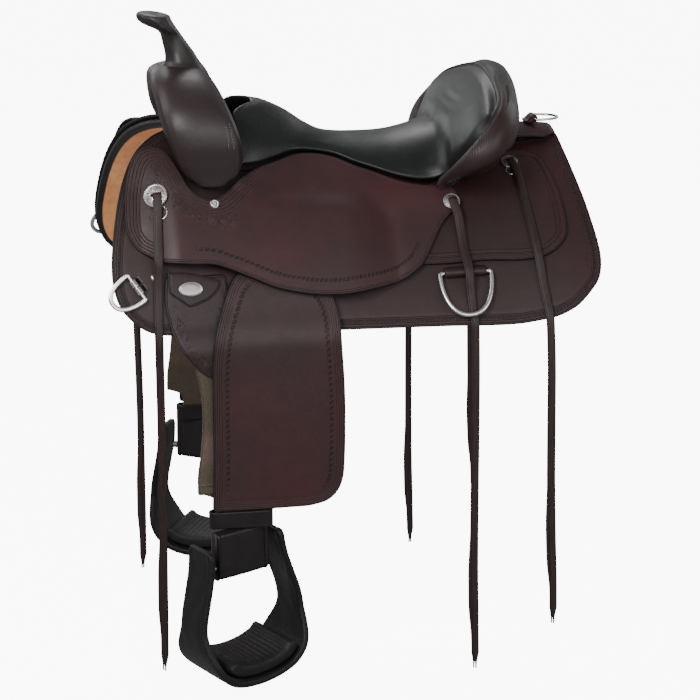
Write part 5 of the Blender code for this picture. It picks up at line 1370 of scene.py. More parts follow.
def shell(name, fn, us, vs, thick, mat, round_top=0.0015, up=(0, 0, 1), attrs=None, post=None):
    """Closed skin over fn(u, v) with rounded edges; top first, then the underside."""
    U, V = np.meshgrid(us, vs, indexing="ij")
    P = fn(U, V)
    du, dv = np.gradient(P, axis=0), np.gradient(P, axis=1)
    n = np.cross(du, dv)
    n /= np.maximum(np.linalg.norm(n, axis=2), 1e-12)[..., None]
    if np.sum(n @ np.asarray(up, float)) < 0:
        n = -n
    lu = np.concatenate([np.zeros((1, P.shape[1])), np.cumsum(np.linalg.norm(np.diff(P, axis=0), axis=2), axis=0)])
    lv = np.concatenate([np.zeros((P.shape[0], 1)), np.cumsum(np.linalg.norm(np.diff(P, axis=1), axis=2), axis=1)], axis=1)
    d = np.minimum(np.minimum(lu, lu[-1:] - lu), np.minimum(lv, lv[:, -1:] - lv))
    r = round_top
    drop = np.where(d < r, r - np.sqrt(np.maximum(r * r - (r - d) ** 2, 0)), 0)
    top = P - n * drop[..., None]
    if post is not None:
        top = post(top, U, V, d, n)
    low = P - n * thick
    nu, nv = P.shape[:2]
    N = nu * nv
    f = []
    for i in range(nu - 1):
        for j in range(nv - 1):
            a, b, c, e = i * nv + j, (i + 1) * nv + j, (i + 1) * nv + j + 1, i * nv + j + 1
            f.append((a, b, c, e))
            f.append((a + N, e + N, c + N, b + N))
    ring = [(i, 0) for i in range(nu)] + [(nu - 1, j) for j in range(1, nv)] + [(i, nv - 1) for i in range(nu - 2, -1, -1)] \
        + [(0, j) for j in range(nv - 2, 0, -1)]
    ids = [i * nv + j for i, j in ring]
    for a, b in zip(ids, ids[1:] + ids[:1]):
        f.append((a, a + N, b + N, b))
    at = {"rim": np.concatenate([d.ravel() * 1000, np.zeros(N)])}
    for key, g in (attrs or {}).items():
        at[key] = np.concatenate([g(U, V, d, lu, lv).ravel(), np.zeros(N)])
    ob = new_mesh(name, np.vstack([top.reshape(-1, 3), low.reshape(-1, 3)]), f, mat, at)
    bm = bmesh.new()
    bm.from_mesh(ob.data)
    bmesh.ops.recalc_face_normals(bm, faces=bm.faces[:])
    bm.to_mesh(ob.data)
    bm.free()
    ob.data.shade_smooth()
    return ob, (nu, nv)


def seat_post(top, U, V, d, n):
    # padding: a soft crown inside the edges, a little hollow along the fold at the foot of the dish
    m = np.abs(2 * V - 1)
    dish = step(0.66, 0.76, U)
    crown = (0.0022 + 0.0042 * dish) * step(0.0, 0.018, d) - 0.0006
    fold = -0.0020 * np.exp(-((U - 0.705) / 0.018) ** 2) * step(0.35, 0.95, m)
    return top + n * (crown + fold)[..., None] - n * 0.0016


us, vs = eased(118, 0.02, 5), eased(72, 0.02, 4)
pad, (nu_, nv_) = shell("seat_cover", lambda u, v: seat_top(u, 2 * v - 1), us, vs, PAD_T, m_seat, 0.0030, post=seat_post)


def inflate(ob, shape, frames=20, cap=0.0055, pressure=4.0):
    """Cloth with air inside, its border held, gravity off; every move is capped. The result becomes the mesh."""
    nu, nv = shape
    N = nu * nv
    rest = np.array([v.co for v in ob.data.vertices], float)
    grp = ob.vertex_groups.new(name="held")
    held = [i * nv + j for i in range(nu) for j in range(nv) if i < 4 or j < 4 or i > nu - 5 or j > nv - 5]
    grp.add(held, 1.0, "REPLACE")
    grp.add([i + N for i in range(N)], 1.0, "REPLACE")
    mod = ob.modifiers.new("cloth", "CLOTH")
    st = mod.settings
    st.use_pressure = True
    st.uniform_pressure_force = pressure
    st.mass = 0.25
    st.quality = 6
    st.tension_stiffness = 18
    st.compression_stiffness = 18
    st.shear_stiffness = 8
    st.bending_stiffness = 2.5
    st.vertex_group_mass = "held"
    st.effector_weights.gravity = 0.0
    mod.point_cache.frame_start, mod.point_cache.frame_end = 1, frames
    scene.frame_start, scene.frame_end = 1, frames
    for f in range(1, frames + 1):
        scene.frame_set(f)
    dg = bpy.context.evaluated_depsgraph_get()
    e = ob.evaluated_get(dg)
    moved = np.array([v.co for v in e.data.vertices], float)
    ob.modifiers.remove(mod)
    ob.vertex_groups.remove(grp)
    scene.frame_set(1)
    if moved.shape != rest.shape or not np.isfinite(moved).all():
        return rest
    d = moved - rest
    ln = np.linalg.norm(d, axis=1)
    d *= (np.minimum(ln, cap) / np.maximum(ln, 1e-9))[:, None]
    ob.data.vertices.foreach_set("co", (rest + d).astype(np.float32).ravel())
    ob.data.update()
    return rest


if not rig.quick():
    inflate(pad, (nu_, nv_), cap=0.0050, pressure=3.0)
single(pad, nodes=["seat_pad"], slot="seat_leather")
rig.padded(pad, fill=0.75)

RIM = [(0.1125, 0.1255, 0.0150), (0.1205, 0.1310, 0.0230), (0.1310, 0.1525, 0.0405), (0.1430, 0.1745, 0.0620),
       (0.1560, 0.1855, 0.0850), (0.1670, 0.1850, 0.1010), (0.1780, 0.1740, 0.1150), (0.1870, 0.1560, 0.1240),
       (0.1935, 0.1280, 0.1325), (0.1970, 0.0880, 0.1415), (0.1982, 0.0440, 0.1490), (0.1985, 0.0, 0.1525)]
rim_full = [(x, -y, z) for x, y, z in RIM] + [(x, y, z) for x, y, z in reversed(RIM[:-1])]
rim_fn = path_fn(rim_full)
_kv = smooth_fn([0, 0.056, 0.149, 0.225, 0.305, 0.5], [0.24, 0.34, 0.64, 0.90, 1.0, 1.0])
_kr = smooth_fn([0, 0.093, 0.233, 0.365, 0.5], [0.36, 0.47, 0.62, 0.85, 1.0])
BIND = [(0.0, -0.010), (0.0, 0.0005), (0.006, 0.0050), (0.018, 0.0065), (0.032, 0.0010),
        (0.041, -0.0120), (0.044, -0.0270), (0.041, -0.0420), (0.032, -0.0530), (0.021, -0.0580)]
bind_fn = path_fn(BIND)
_low = smooth_fn([0.100, 0.118, 0.1355, 0.1501, 0.169, 0.1871, 0.2003], [0.0115, 0.0131, 0.0168, 0.0222, 0.0302, 0.0435, 0.0620])


def binding_surface(U, V):
    out = np.zeros(U.shape + (3,))
    for i in range(U.shape[0]):
        t = float(U[i, 0])
        p = rim_fn(t)
        q = rim_fn(min(t + 0.04, 1.0)) - rim_fn(max(t - 0.04, 0.0))
        o = unit([q[1], -q[0], 0.0])
        if o @ np.array([p[0] - 0.10, p[1], 0.0]) < 0:
            o = -o
        o = unit(o + np.array([0.0, 0.5 * math.copysign(1.0, p[1]) * (1 - float(step(0.045, 0.148, min(t, 1 - t)))), 0.0]))
        m = min(t, 1 - t)
        kr, kv = float(_kr(m)), float(_kv(m))
        v = V[i]
        f = bind_fn(np.minimum(v / 0.75, 1.0))
        f[:, 1] -= (0.0048 * step(0.0, 0.007, f[:, 0]) + 0.0055 * step(0.007, 0.032, f[:, 0])) * (1 - float(step(0.34, 0.44, m)))
        pts = p[None] + o[None] * (f[:, :1] * kr) + np.array([0, 0, 1.0])[None] * (f[:, 1:] * kv)
        foot = p + o * (0.0210 * kr)
        foot[1] *= 1 - 0.38 * float(step(0.018, 0.140, m)) - 0.04 * float(step(0.15, 0.24, m))
        w = 0.0085 + 0.0120 * float(step(0.104, 0.120, abs(foot[1]))) * (1 - float(step(0.150, 0.165, foot[0])))
        fz = float(back_z(foot[0], abs(foot[1]), w))
        for j in np.nonzero(v > 0.75)[0]:
            k = (v[j] - 0.75) / 0.25
            ft = np.array([foot[0], foot[1], min(fz, pts[j][2] - 0.0015)])
            pts[j] = pts[j] * (1 - k) + ft * k
        # the leather is cut off along one clean line above the jockey
        side = 1 - float(step(0.30, 0.36, m))
        q = pts[:, 0] + 0.214 * (np.abs(pts[:, 1]) - 0.17)
        low = _low(np.clip(q, 0.100, 0.2003)) + 0.234 * (np.abs(pts[:, 1]) - 0.17) - 0.30 * np.maximum(q - 0.2003, 0.0)
        low = low - 0.20 * (1 - step(0.0, 0.30, v)) - 0.20 * (1 - side) - 2.0 * np.maximum(0.10 - q, 0)
        pts[:, 2] = np.where(v > 0.25, np.maximum(pts[:, 2], low), pts[:, 2])
        out[i] = pts
    return out


def bind_attr_mask(U):
    m = np.minimum(U, 1 - U)
    return m


bus, bvs = eased(230, 0.012, 4), eased(70, 0.03, 4)
binding, _ = shell("cantle_leather", binding_surface, bus, bvs, 0.0030, m_binding, 0.0012, up=(0.3, 0, 1),
                   attrs={"run": lambda U, V, d, lu, lv: lu.mean(1)[:, None] * 1000 + 0 * U,
                          "pucker": lambda U, V, d, lu, lv: 0.95 * (1 - step(0.13, 0.20, np.minimum(U, 1 - U)))
                          * step(0.05, 0.10, V) * (1 - step(0.30, 0.48, V)),
                          "grainy": lambda U, V, d, lu, lv: step(0.26, 0.32, np.minimum(U, 1 - U)) * step(0.10, 0.14, V)
                          * (1 - step(0.40, 0.50, V))})
# the distance from the inner edge is what the seam rows follow
_b = binding.data.attributes["rim"]
_vals = np.zeros(len(binding.data.vertices), np.float32)
_b.data.foreach_get("value", _vals)
_U, _V = np.meshgrid(bus, bvs, indexing="ij")
_P = binding_surface(_U, _V)
_lv = np.concatenate([np.zeros((_P.shape[0], 1)), np.cumsum(np.linalg.norm(np.diff(_P, axis=1), axis=2), axis=1)], axis=1) * 1000
_n = _P.shape[0] * _P.shape[1]
_vals[:_n] = (_lv - 10.5 * np.vectorize(lambda m: float(_kv(m)))(np.minimum(_U, 1 - _U))).ravel() - 1.0
_vals[_n:] = 60.0
_b.data.foreach_set("value", _vals)
single(binding, nodes=["cantle_binding"], slot="brown_leather")

# piping in the seam between the padded seat and the binding
line = rim_fn(np.linspace(0.055, 0.945, 260)) + np.array([0, 0, 0.0006])
piping = sweep("seat_piping", line, ellipse(0.0012, 0.0012, 8), m_seat, up=(0.2, 0, 1), scale=lambda u: min(1.0, 0.3 + 14 * min(u, 1 - u)))
single(piping, slot="seat_leather")


# bridge over the spine behind the cantle
def bridge_surface(u, v):
    x = 0.236 + 0.069 * u
    zc = smooth_fn([0, 0.4, 0.75, 1.0], [0.0660, 0.0660, 0.0645, 0.0628])(u)
    y = (2 * v - 1) * (0.046 - 0.010 * step(0.7, 1.0, u))
    return np.stack([x, y, zc - 5.2 * y * y], -1)


bridge, _ = shell("rear_bridge_leather", bridge_surface, eased(40, 0.05, 3), eased(60, 0.03, 3), 0.0042, m_bridge, 0.0014,
                  attrs={"run": lambda U, V, d, lu, lv: lv * 1000})
single(bridge, nodes=["rear_bridge"], slot="brown_leather")


# ----------------------------------------------------------------------------
# Metal: dees, conchos, plates
# ----------------------------------------------------------------------------
def dee_axes(x, s, w0, w1, direction, reach):
    p0 = back(x, s, w0)
    dx, ds = direction
    p1 = back(x + dx * reach, s + ds * reach, w1)
    ey = unit(p0 - p1)
    n = back_normal(x, s)
    ex = unit(np.cross(ey, n))
    ez = unit(np.cross(ex, ey))
    return p0, ex, ey, ez


def dee_path(half_w, depth, wire, power=2.3, n=180, rounds=26):
    hw, dp = half_w - wire / 2, depth - wire / 2
    a = np.linspace(0, np.pi, 240)
    c, s = np.cos(a), np.sin(a)
    e = 2.0 / power
    bow = np.stack([np.sign(c) * np.abs(c) ** e * hw, -(np.abs(s) ** e) * dp], 1)
    bar = np.stack([np.linspace(-hw, hw, 80), np.zeros(80)], 1)
    P = np.vstack([bow, bar[1:-1]])
    Q = np.vstack([P, P[:1]])
    L = np.concatenate([[0], np.cumsum(np.linalg.norm(np.diff(Q, axis=0), axis=1))])
    t = np.arange(n) * L[-1] / n
    P = np.stack([np.interp(t, L, Q[:, 0]), np.interp(t, L, Q[:, 1])], 1)
    for _ in range(rounds):
        P = 0.25 * np.roll(P, 1, 0) + 0.5 * P + 0.25 * np.roll(P, -1, 0)
    return P


def dee(name, axes, half_w, depth, wire, a, b, mat, power=2.0, rounds=10, roll=False):
    o, ex, ey, ez = axes
    P = dee_path(half_w, depth, wire, rounds=rounds)
    W = o + np.outer(P[:, 0], ex) + np.outer(P[:, 1], ey)

    def sec(u):
        i = int(round(u * (len(P) - 1)))
        # slimmer on the straight bar
        k = 0.80 if P[i][1] > -0.004 and abs(P[i][0]) < half_w * 0.80 else 1.0
        return ellipse(a * k, b * min(1.0, k + 0.1), 18, power)
    ob = sweep(name, W, sec, mat, up=ez, closed_path=True)
    if roll:
        parts = [ob]
        for x0, x1 in ((-half_w * 0.70, -half_w * 0.06), (half_w * 0.06, half_w * 0.70)):
            line = [o + ex * x for x in np.linspace(x0, x1, 14)]
            prof = lambda u: ellipse(0.00335 - 0.0006 * abs(2 * u - 1) ** 8, 0.00315 - 0.0006 * abs(2 * u - 1) ** 8, 18)
            parts.append(sweep(name + "_r%d" % (x0 > 0), line, prof, m_bright, up=ez))
        ob = join(name, *parts)
    return ob


mf = dee_axes(0.1315, 0.2440, 0.0068, 0.0135, (0.0, 1.0), 0.065)
mb = dee_axes(-0.3380, 0.3120, 0.0064, 0.0050, (-0.74, 0.67), 0.040)
mc = (np.array([0.2780, 0.0, 0.0732]), np.array([0.0, 1.0, 0.0]), np.array([-1.0, 0.0, 0.0]), np.array([0.0, 0.0, 1.0]))
both(lambda n: dee(n, mf, 0.0405, 0.0690, 0.0072, 0.0035, 0.0030, m_silver), "flank_dee_ring", body="flank_dee",
     nodes="flank_dee", slot="hardware")
both(lambda n: dee(n, mb, 0.0245, 0.0440, 0.0062, 0.0033, 0.0021, m_silver, power=2.6, rounds=8), "breast_dee_ring",
     body="breast_dee", nodes="breast_dee", slot="hardware")
cd = dee("crupper_dee_ring", mc, 0.0235, 0.0400, 0.0040, 0.0020, 0.0020, m_silver, rounds=8)
single(cd, body="crupper_dee", nodes=["crupper_dee"], slot="hardware")


def tab(name, axes, flap, hole, skin_t, flap_t, half, mat, bulge=0.0004, n_len=26):
    """Leather or metal folded round the bar: its side view carried along the bar, with soft ends."""
    o, ex, ey, ez = axes
    ro = hole + skin_t
    px, py, pz = -ey, ez, ex
    arc_ = [(ro * math.cos(math.radians(t)), ro * math.sin(math.radians(t))) for t in np.linspace(-90, 90, 22)]
    prof = [(-flap + 0.0006, -ro)] + arc_ + [(-ro * 0.45, ro * 0.88), (-ro * 0.9, ro * 0.55), (-ro * 1.4, ro * 0.1 - 0.0002),
                                              (-flap * 0.82, -ro + flap_t), (-flap, -ro + flap_t - 0.0004), (-flap - 0.0002, -ro + 0.0006)]
    prof = np.array(prof)
    c = prof.mean(0)
    rings = []
    for u in np.linspace(-1, 1, n_len):
        k = 1 - 0.10 * abs(u) ** 14
        rings.append([o + pz * (u * half) + px * (c[0] + (a - c[0]) * k) + py * (c[1] + (b - c[1]) * k) for a, b in prof])
    return skin(name, rings, mat)


both(lambda n: tab(n, mf, 0.0110, 0.0040, 0.0022, 0.0022, 0.0300, m_plain), "flank_dee_loop", nodes="flank_dee_tab", slot="brown_leather")


def clip(name):
    """Sheet-metal clip of the breast dee, in two bright rolls with a gap between."""
    o, ex, ey, ez = mb
    parts = []
    for k, c0 in enumerate((-0.0062, 0.0062)):
        parts.append(tab(name + str(k), (o + ex * c0, ex, ey, ez), 0.0120, 0.0036, 0.0014, 0.0012, 0.0056, m_bright, n_len=18))
    return join(name, *parts)


both(clip, "breast_dee_roller", nodes="breast_dee_clip", slot="hardware")
t_ = tab("crupper_dee_loop", mc, 0.014, 0.0034, 0.0024, 0.0026, 0.0125, m_plain)
single(t_, nodes=["crupper_dee_tab"], slot="brown_leather")


def disc(name, p, n, r, prof, mat, petals=8, cut=True, scallop=0.0, oval=1.0, base=0.0):
    """Turned plate with engraved petals; prof is (share of r, height)."""
    ex = unit(np.array([1.0, 0, 0]) - n * n[0])
    ey = np.cross(n, ex)
    k = 96
    th = 2 * np.pi * np.arange(k) / k
    f = smooth_fn([q[0] for q in prof], [q[1] for q in prof])
    V, F, E = [p + n * float(f(0.0))], [], [0.0]
    rs = np.concatenate([np.linspace(0.04, 0.97, 26), [0.985, 1.0]])
    for q in rs:
        h = float(f(q))
        leafs = 0.5 + 0.5 * np.cos(petals * th)
        band = float(step(0.22, 0.30, q) * (1 - step(0.72, 0.78, q)))
        vein = np.exp(-((np.mod(petals * th / (2 * np.pi) + 0.5, 1) - 0.5) / 0.10) ** 2)
        rope = float(step(0.80, 0.84, q) * (1 - step(0.96, 1.0, q)))
        tw = 0.5 + 0.5 * np.cos(30 * th + 5.0 * q)
        dh = (0.00028 * leafs * band - 0.00030 * vein * band + 0.00030 * tw * rope) if cut else 0 * th
        cutv = (np.clip(vein * band + (1 - leafs) * band * 0.9 * (q > 0.45) + (tw < 0.35) * rope * 0.9, 0, 1)) if cut else 0 * th
        if cut:
            cutv = np.maximum(cutv, math.exp(-((q - 0.79) / 0.018) ** 2))
            cutv = np.maximum(cutv, math.exp(-((q - 0.24) / 0.02) ** 2))
        rr = q * r * (1 + scallop * np.cos(24 * th) * (q > 0.9))
        for i in range(k):
            V.append(p + ex * rr[i] * math.cos(th[i]) + ey * rr[i] * oval * math.sin(th[i]) + n * (h + dh[i]))
            E.append(float(cutv[i]))
    for i in range(k):
        q = r * (1 + scallop * math.cos(24 * th[i]))
        V.append(p + ex * q * 0.995 * math.cos(th[i]) + ey * q * 0.995 * oval * math.sin(th[i]) + n * base)
        E.append(0.0)
    rows = len(rs) + 1
    for i in range(k):
        F.append((0, 1 + i, 1 + (i + 1) % k))
    for m in range(rows - 1):
        for i in range(k):
            a, b = 1 + m * k + i, 1 + m * k + (i + 1) % k
            F.append((a, a + k, b + k, b))
    F.append(tuple(reversed([1 + (rows - 1) * k + i for i in range(k)])))
    ob = new_mesh(name, V, F, mat, {"engrave": E})
    bm = bmesh.new()
    bm.from_mesh(ob.data)
    bmesh.ops.recalc_face_normals(bm, faces=bm.faces[:])
    bm.to_mesh(ob.data)
    bm.free()
    ob.data.shade_smooth()
    return ob


CONCHO = [(0.0, 0.0047), (0.2, 0.0046), (0.45, 0.0041), (0.70, 0.0033), (0.80, 0.0028), (0.88, 0.0030), (0.95, 0.0026), (1.0, 0.0016)]


def ring_on(name, x, s, w_fn, r, wire, tilt=0.0):
    p, n = on_layer(x, s, w_fn)
    ex = unit(np.array([1.0, 0, 0]) - n * n[0])
    ey = np.cross(n, ex)
    t = 2 * np.pi * np.arange(64) / 64
    P = p + n * (wire * 0.9) + np.outer(np.cos(t) * r, ex) + np.outer(np.sin(t) * r, ey) + np.outer(np.abs(np.sin(t)) * tilt, n)
    return sweep(name, P, ellipse(wire, wire, 10), m_bright, up=n, closed_path=True)


def slot_bar(name, p, n, w, h, lift):
    """Dark sheet laid over the slot that the thongs come out of: the painted shade of the opening."""
    ex = unit(np.array([1.0, 0, 0]) - n * n[0])
    ey = np.cross(n, ex)
    rings = []
    for lz, k in ((lift - 0.0012, 1.0), (lift, 1.0), (lift + 0.0004, 0.8)):
        rings.append([p + n * lz + ex * a * k + ey * b * k for a, b in ellipse(w, h, 20, 5.0)])
    return skin(name, rings, m_slot_shade)


jock = lambda x, s: jockey_w(x, s) + JOCKEY_T
for label, x, s, w_fn, lift, r, ring_r in (("front", -0.303, 0.178, jock, 0.0028, 0.018, 0.0100),
                                           ("mid", 0.1250, 0.134, jock, 0.0016, 0.0125, 0.0),
                                           ("rear", 0.2240, 0.066, lambda x, s: 0.0056 + 0.0 * x, 0.0014, 0.0125, 0.0082)):
    p, n = on_layer(x, s, w_fn)
    p = p + n * lift
    both(lambda nm: disc(nm, p, n, r, [(a, b * (r / 0.018) ** 0.5) for a, b in CONCHO], m_engraved, scallop=0.012,
                         base=-lift + 0.0001),
         "concho_plate_" + label, nodes="concho_" + label, slot="hardware")
    # a dark sheet over each concho's slot, painted shade of the opening
    both(lambda nm: slot_bar(nm, p + np.array([0.0012, 0, 0]), n, r * 0.40, r * 0.13, 0.0050 * (r / 0.018) ** 0.5), "concho_slot_" + label)
    if ring_r:
        both(lambda nm: ring_on(nm, x + (0.004 if label == "front" else 0.0), s + r + ring_r * 0.62, w_fn, ring_r, 0.00085, 0.0008),
             "concho_ring_" + label, slot="hardware")

# screw with its ferrule below the swell, and the small rivet above the front dee
sx = -0.222
ss_ = s_at(sx, -0.002, jock)
p, n = on_layer(sx, ss_, jock)
SCREW = [(0.0, 0.0022), (0.25, 0.0020), (0.36, 0.0008), (0.48, 0.0007), (0.56, 0.0024), (0.70, 0.0033), (0.86, 0.0028), (1.0, 0.0008)]


def screw(name):
    a = disc(name + "a", p, n, 0.0072, SCREW, m_bright, cut=False, base=-0.0006)
    ex = unit(np.array([1.0, 0, 0]) - n * n[0])
    ey = np.cross(n, ex)
    rings = []
    for lz in (0.0012, 0.0026):
        rings.append([p + n * lz + (ex * 0.7 + ey * 0.7) * u * 0.0022 + (ex * -0.7 + ey * 0.7) * v * 0.0005 for u, v in ellipse(1, 1, 12, 6)])
    b = skin(name + "b", rings, m_dark_metal)
    return join(name, a, b)


both(screw, "swell_screw", slot="hardware")
pr, nr = on_layer(-0.313, s_at(-0.313, -0.096, lambda x, s: 0.0 * x), lambda x, s: 0.0 * x)
both(lambda nm: disc(nm, pr, nr, 0.0042, [(0, 0.0018), (0.5, 0.0016), (0.85, 0.0008), (1.0, 0.0001)], m_bright, cut=False,
                     base=-0.0004), "skirt_rivet", slot="hardware")

# plain oval plate on the keeper
pb, nb = back(-0.2625, 0.296, 0.0088), back_normal(-0.2625, 0.296)
PLATE = [(0.0, 0.0010), (0.6, 0.0009), (0.80, 0.0006), (0.86, 0.0003), (0.91, 0.0010), (0.96, 0.0010), (1.0, 0.0003)]


def plate(name):
    ob = disc(name, pb, nb, 0.0172, PLATE, m_badge, cut=False, oval=0.0102 / 0.0172, base=-0.0008)
    return ob


both(plate, "rigging_plate", nodes="rigging_badge", slot="hardware")

# ----------------------------------------------------------------------------
# Stirrup, its neck and the hobble strap
# ----------------------------------------------------------------------------
bdir = np.array([math.cos(TURN), math.sin(TURN), 0.0])
qdir = np.array([-math.sin(TURN), math.cos(TURN), 0.0])
axis_ = np.array([STIRRUP_X, -STIRRUP_Y, 0.0])
UP_ = np.array([0.0, 0.0, 1.0])
UPTS = [(-0.0597, 0.0395), (-0.0612, 0.0240), (-0.0645, 0.0020), (-0.0740, -0.0330), (-0.0820, -0.0620),
        (-0.0850, -0.0890), (-0.0825, -0.1150), (-0.0710, -0.1410), (-0.0480, -0.1610), (0.0, -0.1690)]
UPTS = UPTS + [(-a, c) for a, c in reversed(UPTS[:-1])]
cl, sl = math.cos(LEAN), math.sin(LEAN)
UPTS = [(a + PLAY, c) for a, c in UPTS]
UPTS = [(a * cl - c * sl, PIN_Z + a * sl + c * cl) for a, c in UPTS]
uf = path_fn(UPTS)


def u_frame(t):
    a, c = uf(t)
    a2, c2 = uf(min(t + 0.005, 1))
    a1, c1 = uf(max(t - 0.005, 0))
    tx, tz = a2 - a1, c2 - c1
    ln = math.hypot(tx, tz)
    nn = bdir * (-tz / ln) + UP_ * (tx / ln)
    low = float(step(0.590, 0.655, -c))
    return axis_ + bdir * a + UP_ * c, nn, low


def stirrup(name):
    rings = []
    M = 150
    k = 56
    for i in range(M + 1):
        t = i / M
        ctr, nn, low = u_frame(t)
        hd = 0.0290 + 0.0230 * low
        ht = 0.0047 + 0.0010 * low
        endk = 1.0
        if t < 0.012 or t > 0.988:
            endk = 0.90 + 0.10 * min(t, 1 - t) / 0.012
        sec = []
        for j in range(k):
            ang = 2 * math.pi * j / k
            c_, s_2 = math.cos(ang), math.sin(ang)
            e = 2.0 / 5.5
            a = math.copysign(abs(c_) ** e, c_) * hd
            b = math.copysign(abs(s_2) ** e, s_2) * ht
            edge = math.exp(-((abs(a) - (hd - 0.0022)) / 0.0016) ** 2)
            valley = math.exp(-((abs(a) - (hd - 0.0062)) / 0.0012) ** 2)
            b += math.copysign(0.0007 * edge - 0.0006 * valley, b)
            # the leather over the legs is drawn in soft creases
            b += math.copysign(0.0007, b) * math.sin(a * 210 + 3.0 * math.sin(t * 22)) * (1 - low) * (abs(a) < hd - 0.007)
            sec.append(ctr + qdir * a * endk + nn * b * endk)
        rings.append(sec)
    return skin(name, rings, m_stirrup)


both(stirrup, "stirrup_leather", body="stirrup", nodes="stirrup_frame", slot="stirrup_leather")


def tread(name):
    rings, k = [], 40
    for i in range(61):
        t = 0.355 + 0.29 * i / 60
        ctr, nn, low = u_frame(t)
        lo, hi = 0.0048 + 0.0010 * low + 0.0012, 0.0312
        e_ = 0.0490 * (0.80 + 0.20 * low)
        endk = 1 - 0.35 * max(0.0, abs(2 * i / 60 - 1) - 0.93) / 0.07
        sec = []
        for j in range(k):
            ang = 2 * math.pi * j / k
            c_, s_2 = math.cos(ang), math.sin(ang)
            ee = 2.0 / 4.5
            a = math.copysign(abs(c_) ** ee, c_) * e_
            b = (lo + hi) / 2 + math.copysign(abs(s_2) ** ee, s_2) * (hi - lo) / 2 * endk
            if s_2 > 0:
                b += 0.0006 * math.sin(i * 2 * math.pi / 4.0) * (abs(a) < e_ - 0.006) - 0.0006
            sec.append(ctr + qdir * a * (0.97 + 0.03 * endk) + nn * b)
        rings.append(sec)
    return skin(name, rings, m_tread)


both(tread, "stirrup_pad", body="stirrup", nodes="stirrup_tread", slot="stirrup_leather")


def neck(name):
    prof = [(0.0085, -0.4605), (0.0088, -0.4640), (0.0092, -0.478), (0.0096, -0.490), (0.0101, -0.505)]
    prof += [(0.0105 * math.cos(math.radians(a)), -0.5195 + 0.0105 * math.sin(math.radians(a))) for a in range(0, -181, -9)]
    prof += [(-0.0101, -0.505), (-0.0096, -0.490), (-0.0092, -0.478), (-0.0088, -0.4640), (-0.0085, -0.4605),
             (-0.0060, -0.4592), (0.0, -0.4588), (0.0060, -0.4592)]
    prof = np.array(prof)
    ctr = np.array([0.0, -0.49])
    o = axis_ + bdir * (0.5 * PLAY)
    rings = []
    for u in np.concatenate([[-1, -0.992, -0.975], np.linspace(-0.95, 0.95, 74), [0.975, 0.992, 1]]):
        # welts along both edges, a shallow trough inside them
        w = 0.0012 * math.exp(-((abs(u) - 0.945) / 0.030) ** 2) - 0.0010 * math.exp(-((abs(u) - 0.865) / 0.028) ** 2)
        crown = 0.0010 * (1 - abs(u) ** 3)
        drop = 0.0022 * (abs(u) > 0.98) + 0.0010 * (abs(u) > 0.995)
        ring = []
        for a, c in prof:
            d = np.array([a, (c + 0.5195) if c < -0.5195 else 0.0])
            ln = max(np.linalg.norm(d), 1e-6)
            g = (w + crown - drop) * (1 if c < -0.462 else 0.3)
            a2, c2 = a + d[0] / ln * g, c + (d[1] / ln * g if c < -0.5195 else 0.0)
            ring.append(o + bdir * (u * 0.0440) + qdir * a2 + UP_ * c2)
        rings.append(ring)
    return skin(name, rings, m_neck)


both(neck, "stirrup_neck_leather", body="stirrup_neck", nodes="stirrup_neck", slot="stirrup_leather")


def hobble(name):
    hx, hy = 0.0445, 0.0081
    t = []
    for cx, a0 in ((hx - hy, -90), (-(hx - hy), 90)):
        t += [(cx + hy * math.cos(math.radians(a0 + a)), hy * math.sin(math.radians(a0 + a))) for a in np.linspace(0, 180, 22)]
    P = np.array(t)
    Q = np.vstack([P, P[:1]])
    L = np.concatenate([[0], np.cumsum(np.linalg.norm(np.diff(Q, axis=0), axis=1))])
    tt = np.arange(150) * L[-1] / 150
    P = np.stack([np.interp(tt, L, Q[:, 0]), np.interp(tt, L, Q[:, 1])], 1)
    W = np.stack([STIRRUP_X + P[:, 0], -HOBBLE_Y + P[:, 1], np.full(150, -0.4460)], 1)
    sec = [(a + (0.0003 if abs(b) > 0.0095 else 0.0) * np.sign(a), b) for a, b in ellipse(0.0018, 0.0125, 26, 5.0)]
    return sweep(name, W, sec, m_neck, up=(0, 0, 1), closed_path=True)


both(hobble, "hobble_leather", body="fender", nodes="hobble_strap", slot="brown_leather")


# ----------------------------------------------------------------------------
# CAD nodes that stay: their materials
# ----------------------------------------------------------------------------
def bar_piece(tag, label):
    """The bar of the tree, its front end drawn in under the leather."""
    src = bpy.data.objects["tree_bar_" + tag]
    me = src.data.copy()
    me.name = "tree_bar_cover_" + label
    me.transform(src.matrix_world)
    x0 = -0.262
    for v in me.vertices:
        x, y = v.co.x, abs(v.co.y)
        if x < x0:
            nx = x0 + (x - x0) * 0.25
            v.co.z += float(back_z(nx, y, 0.0)) - float(back_z(x, y, 0.0))
            v.co.x = nx
    me.materials.clear()
    me.materials.append(m_gullet)
    me.update()
    ob = bpy.data.objects.new("tree_bar_cover_" + label, me)
    scene.collection.objects.link(ob)
    single(ob, nodes=["tree_bar_" + tag], slot="tree")


bar_piece("left", "near")
bar_piece("right", "off")
NODE_MATS = {"tree_fork": m_gullet, "tree_cantle": m_gullet, "tree_bar": m_gullet, "ground_seat": m_under_seat, "neck_pin": m_dark_metal}
for nm, ob in frame["nodes"].items():
    for key, mat in NODE_MATS.items():
        if nm.startswith(key):
            if not ob.data.materials:
                ob.data.materials.append(mat)
            for i in range(len(ob.material_slots)):
                ob.material_slots[i].material = mat

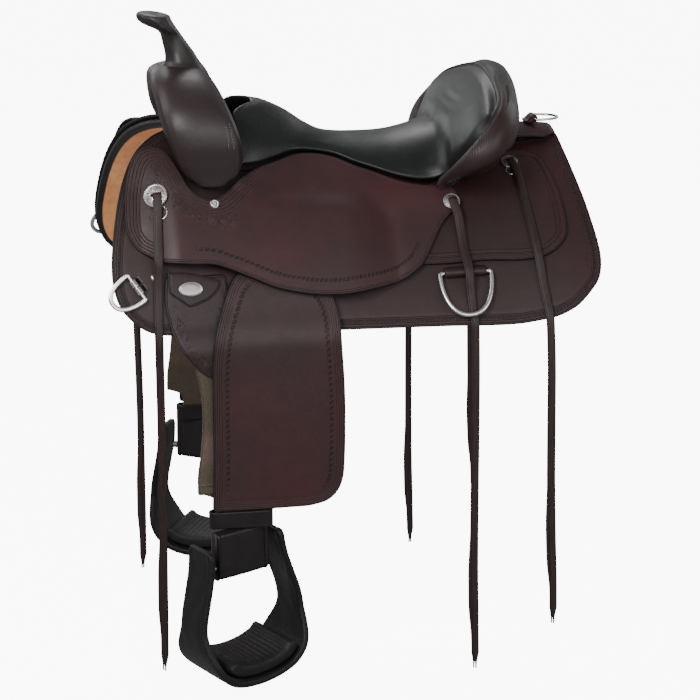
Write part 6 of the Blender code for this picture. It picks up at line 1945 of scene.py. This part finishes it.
# ----------------------------------------------------------------------------
# Floor, backdrop and light
# ----------------------------------------------------------------------------
def stage_material():
    g = Graph("m_stage", Specular_IOR_Level=0.1)
    n = g.noise(0.6, 2.0)
    col = g.mix(n, (0.86, 0.86, 0.86), (0.90, 0.90, 0.90))
    g.b.inputs["Emission Color"].default_value = (1, 1, 1, 1)
    g.b.inputs["Emission Strength"].default_value = 9.0
    return g.done(col, 0.95)


m_stage = stage_material()
floor_z = -0.712
prof = [(0.0005, floor_z), (1.5, floor_z), (4.0, floor_z), (7.0, floor_z)] \
    + [(7.0 + 4.0 * math.sin(a), floor_z + 4.0 * (1 - math.cos(a))) for a in np.linspace(0.12, math.pi / 2, 14)] + [(11.2, 6.0), (11.3, 9.0)]
rows = [[(r * math.cos(t), r * math.sin(t), z) for t in np.linspace(0, 2 * math.pi, 97)[:-1]] for r, z in prof]
stage = skin("studio_floor", rows, m_stage, closed=True, caps=False)
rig.stage(stage)
stage.visible_diffuse = False
stage.visible_glossy = False


def area(name, loc, look, size, power, size_y=None, colour=(1, 1, 1)):
    li = bpy.data.lights.new(name, "AREA")
    li.energy = power
    li.color = colour
    li.size = size
    if size_y:
        li.shape = "RECTANGLE"
        li.size_y = size_y
    ob = bpy.data.objects.new(name, li)
    ob.location = loc
    ob.rotation_mode = "QUATERNION"
    ob.rotation_quaternion = (Vector(look) - Vector(loc)).to_track_quat("-Z", "Y")
    ob.visible_camera = False
    scene.collection.objects.link(ob)
    return ob


area("key", (-1.6, -2.2, 1.5), (-0.1, -0.1, 0.0), 1.0, 58, 1.0)
area("soft", (0.05, -2.9, 0.60), (0, 0, -0.10), 2.0, 26, 1.6)
area("fill", (2.2, -2.6, 1.0), (0, 0, -0.2), 1.8, 28, 1.8)
area("top", (-0.2, 2.2, 1.9), (0, 0, 0), 1.0, 17, 0.8)
area("front", (-2.2, 0.4, 1.5), (0, 0, 0.05), 1.3, 19, 1.3)
area("rim", (-0.9, 2.6, 0.50), (0.1, 0, 0.1), 0.9, 5, 0.8)
area("rear", (2.6, 1.9, 1.1), (0, 0, -0.1), 1.9, 16, 1.9)
world = bpy.data.worlds.new("studio")
scene.world = world
world.use_nodes = True
bg = world.node_tree.nodes.get("Background")
bg.inputs[0].default_value = (1, 1, 1, 1)
bg.inputs[1].default_value = 0.27

visual_box = [list(c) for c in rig.bounds()]
with open("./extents.json", "w") as fh:
    json.dump({"cad": cad_box, "visual": visual_box}, fh)
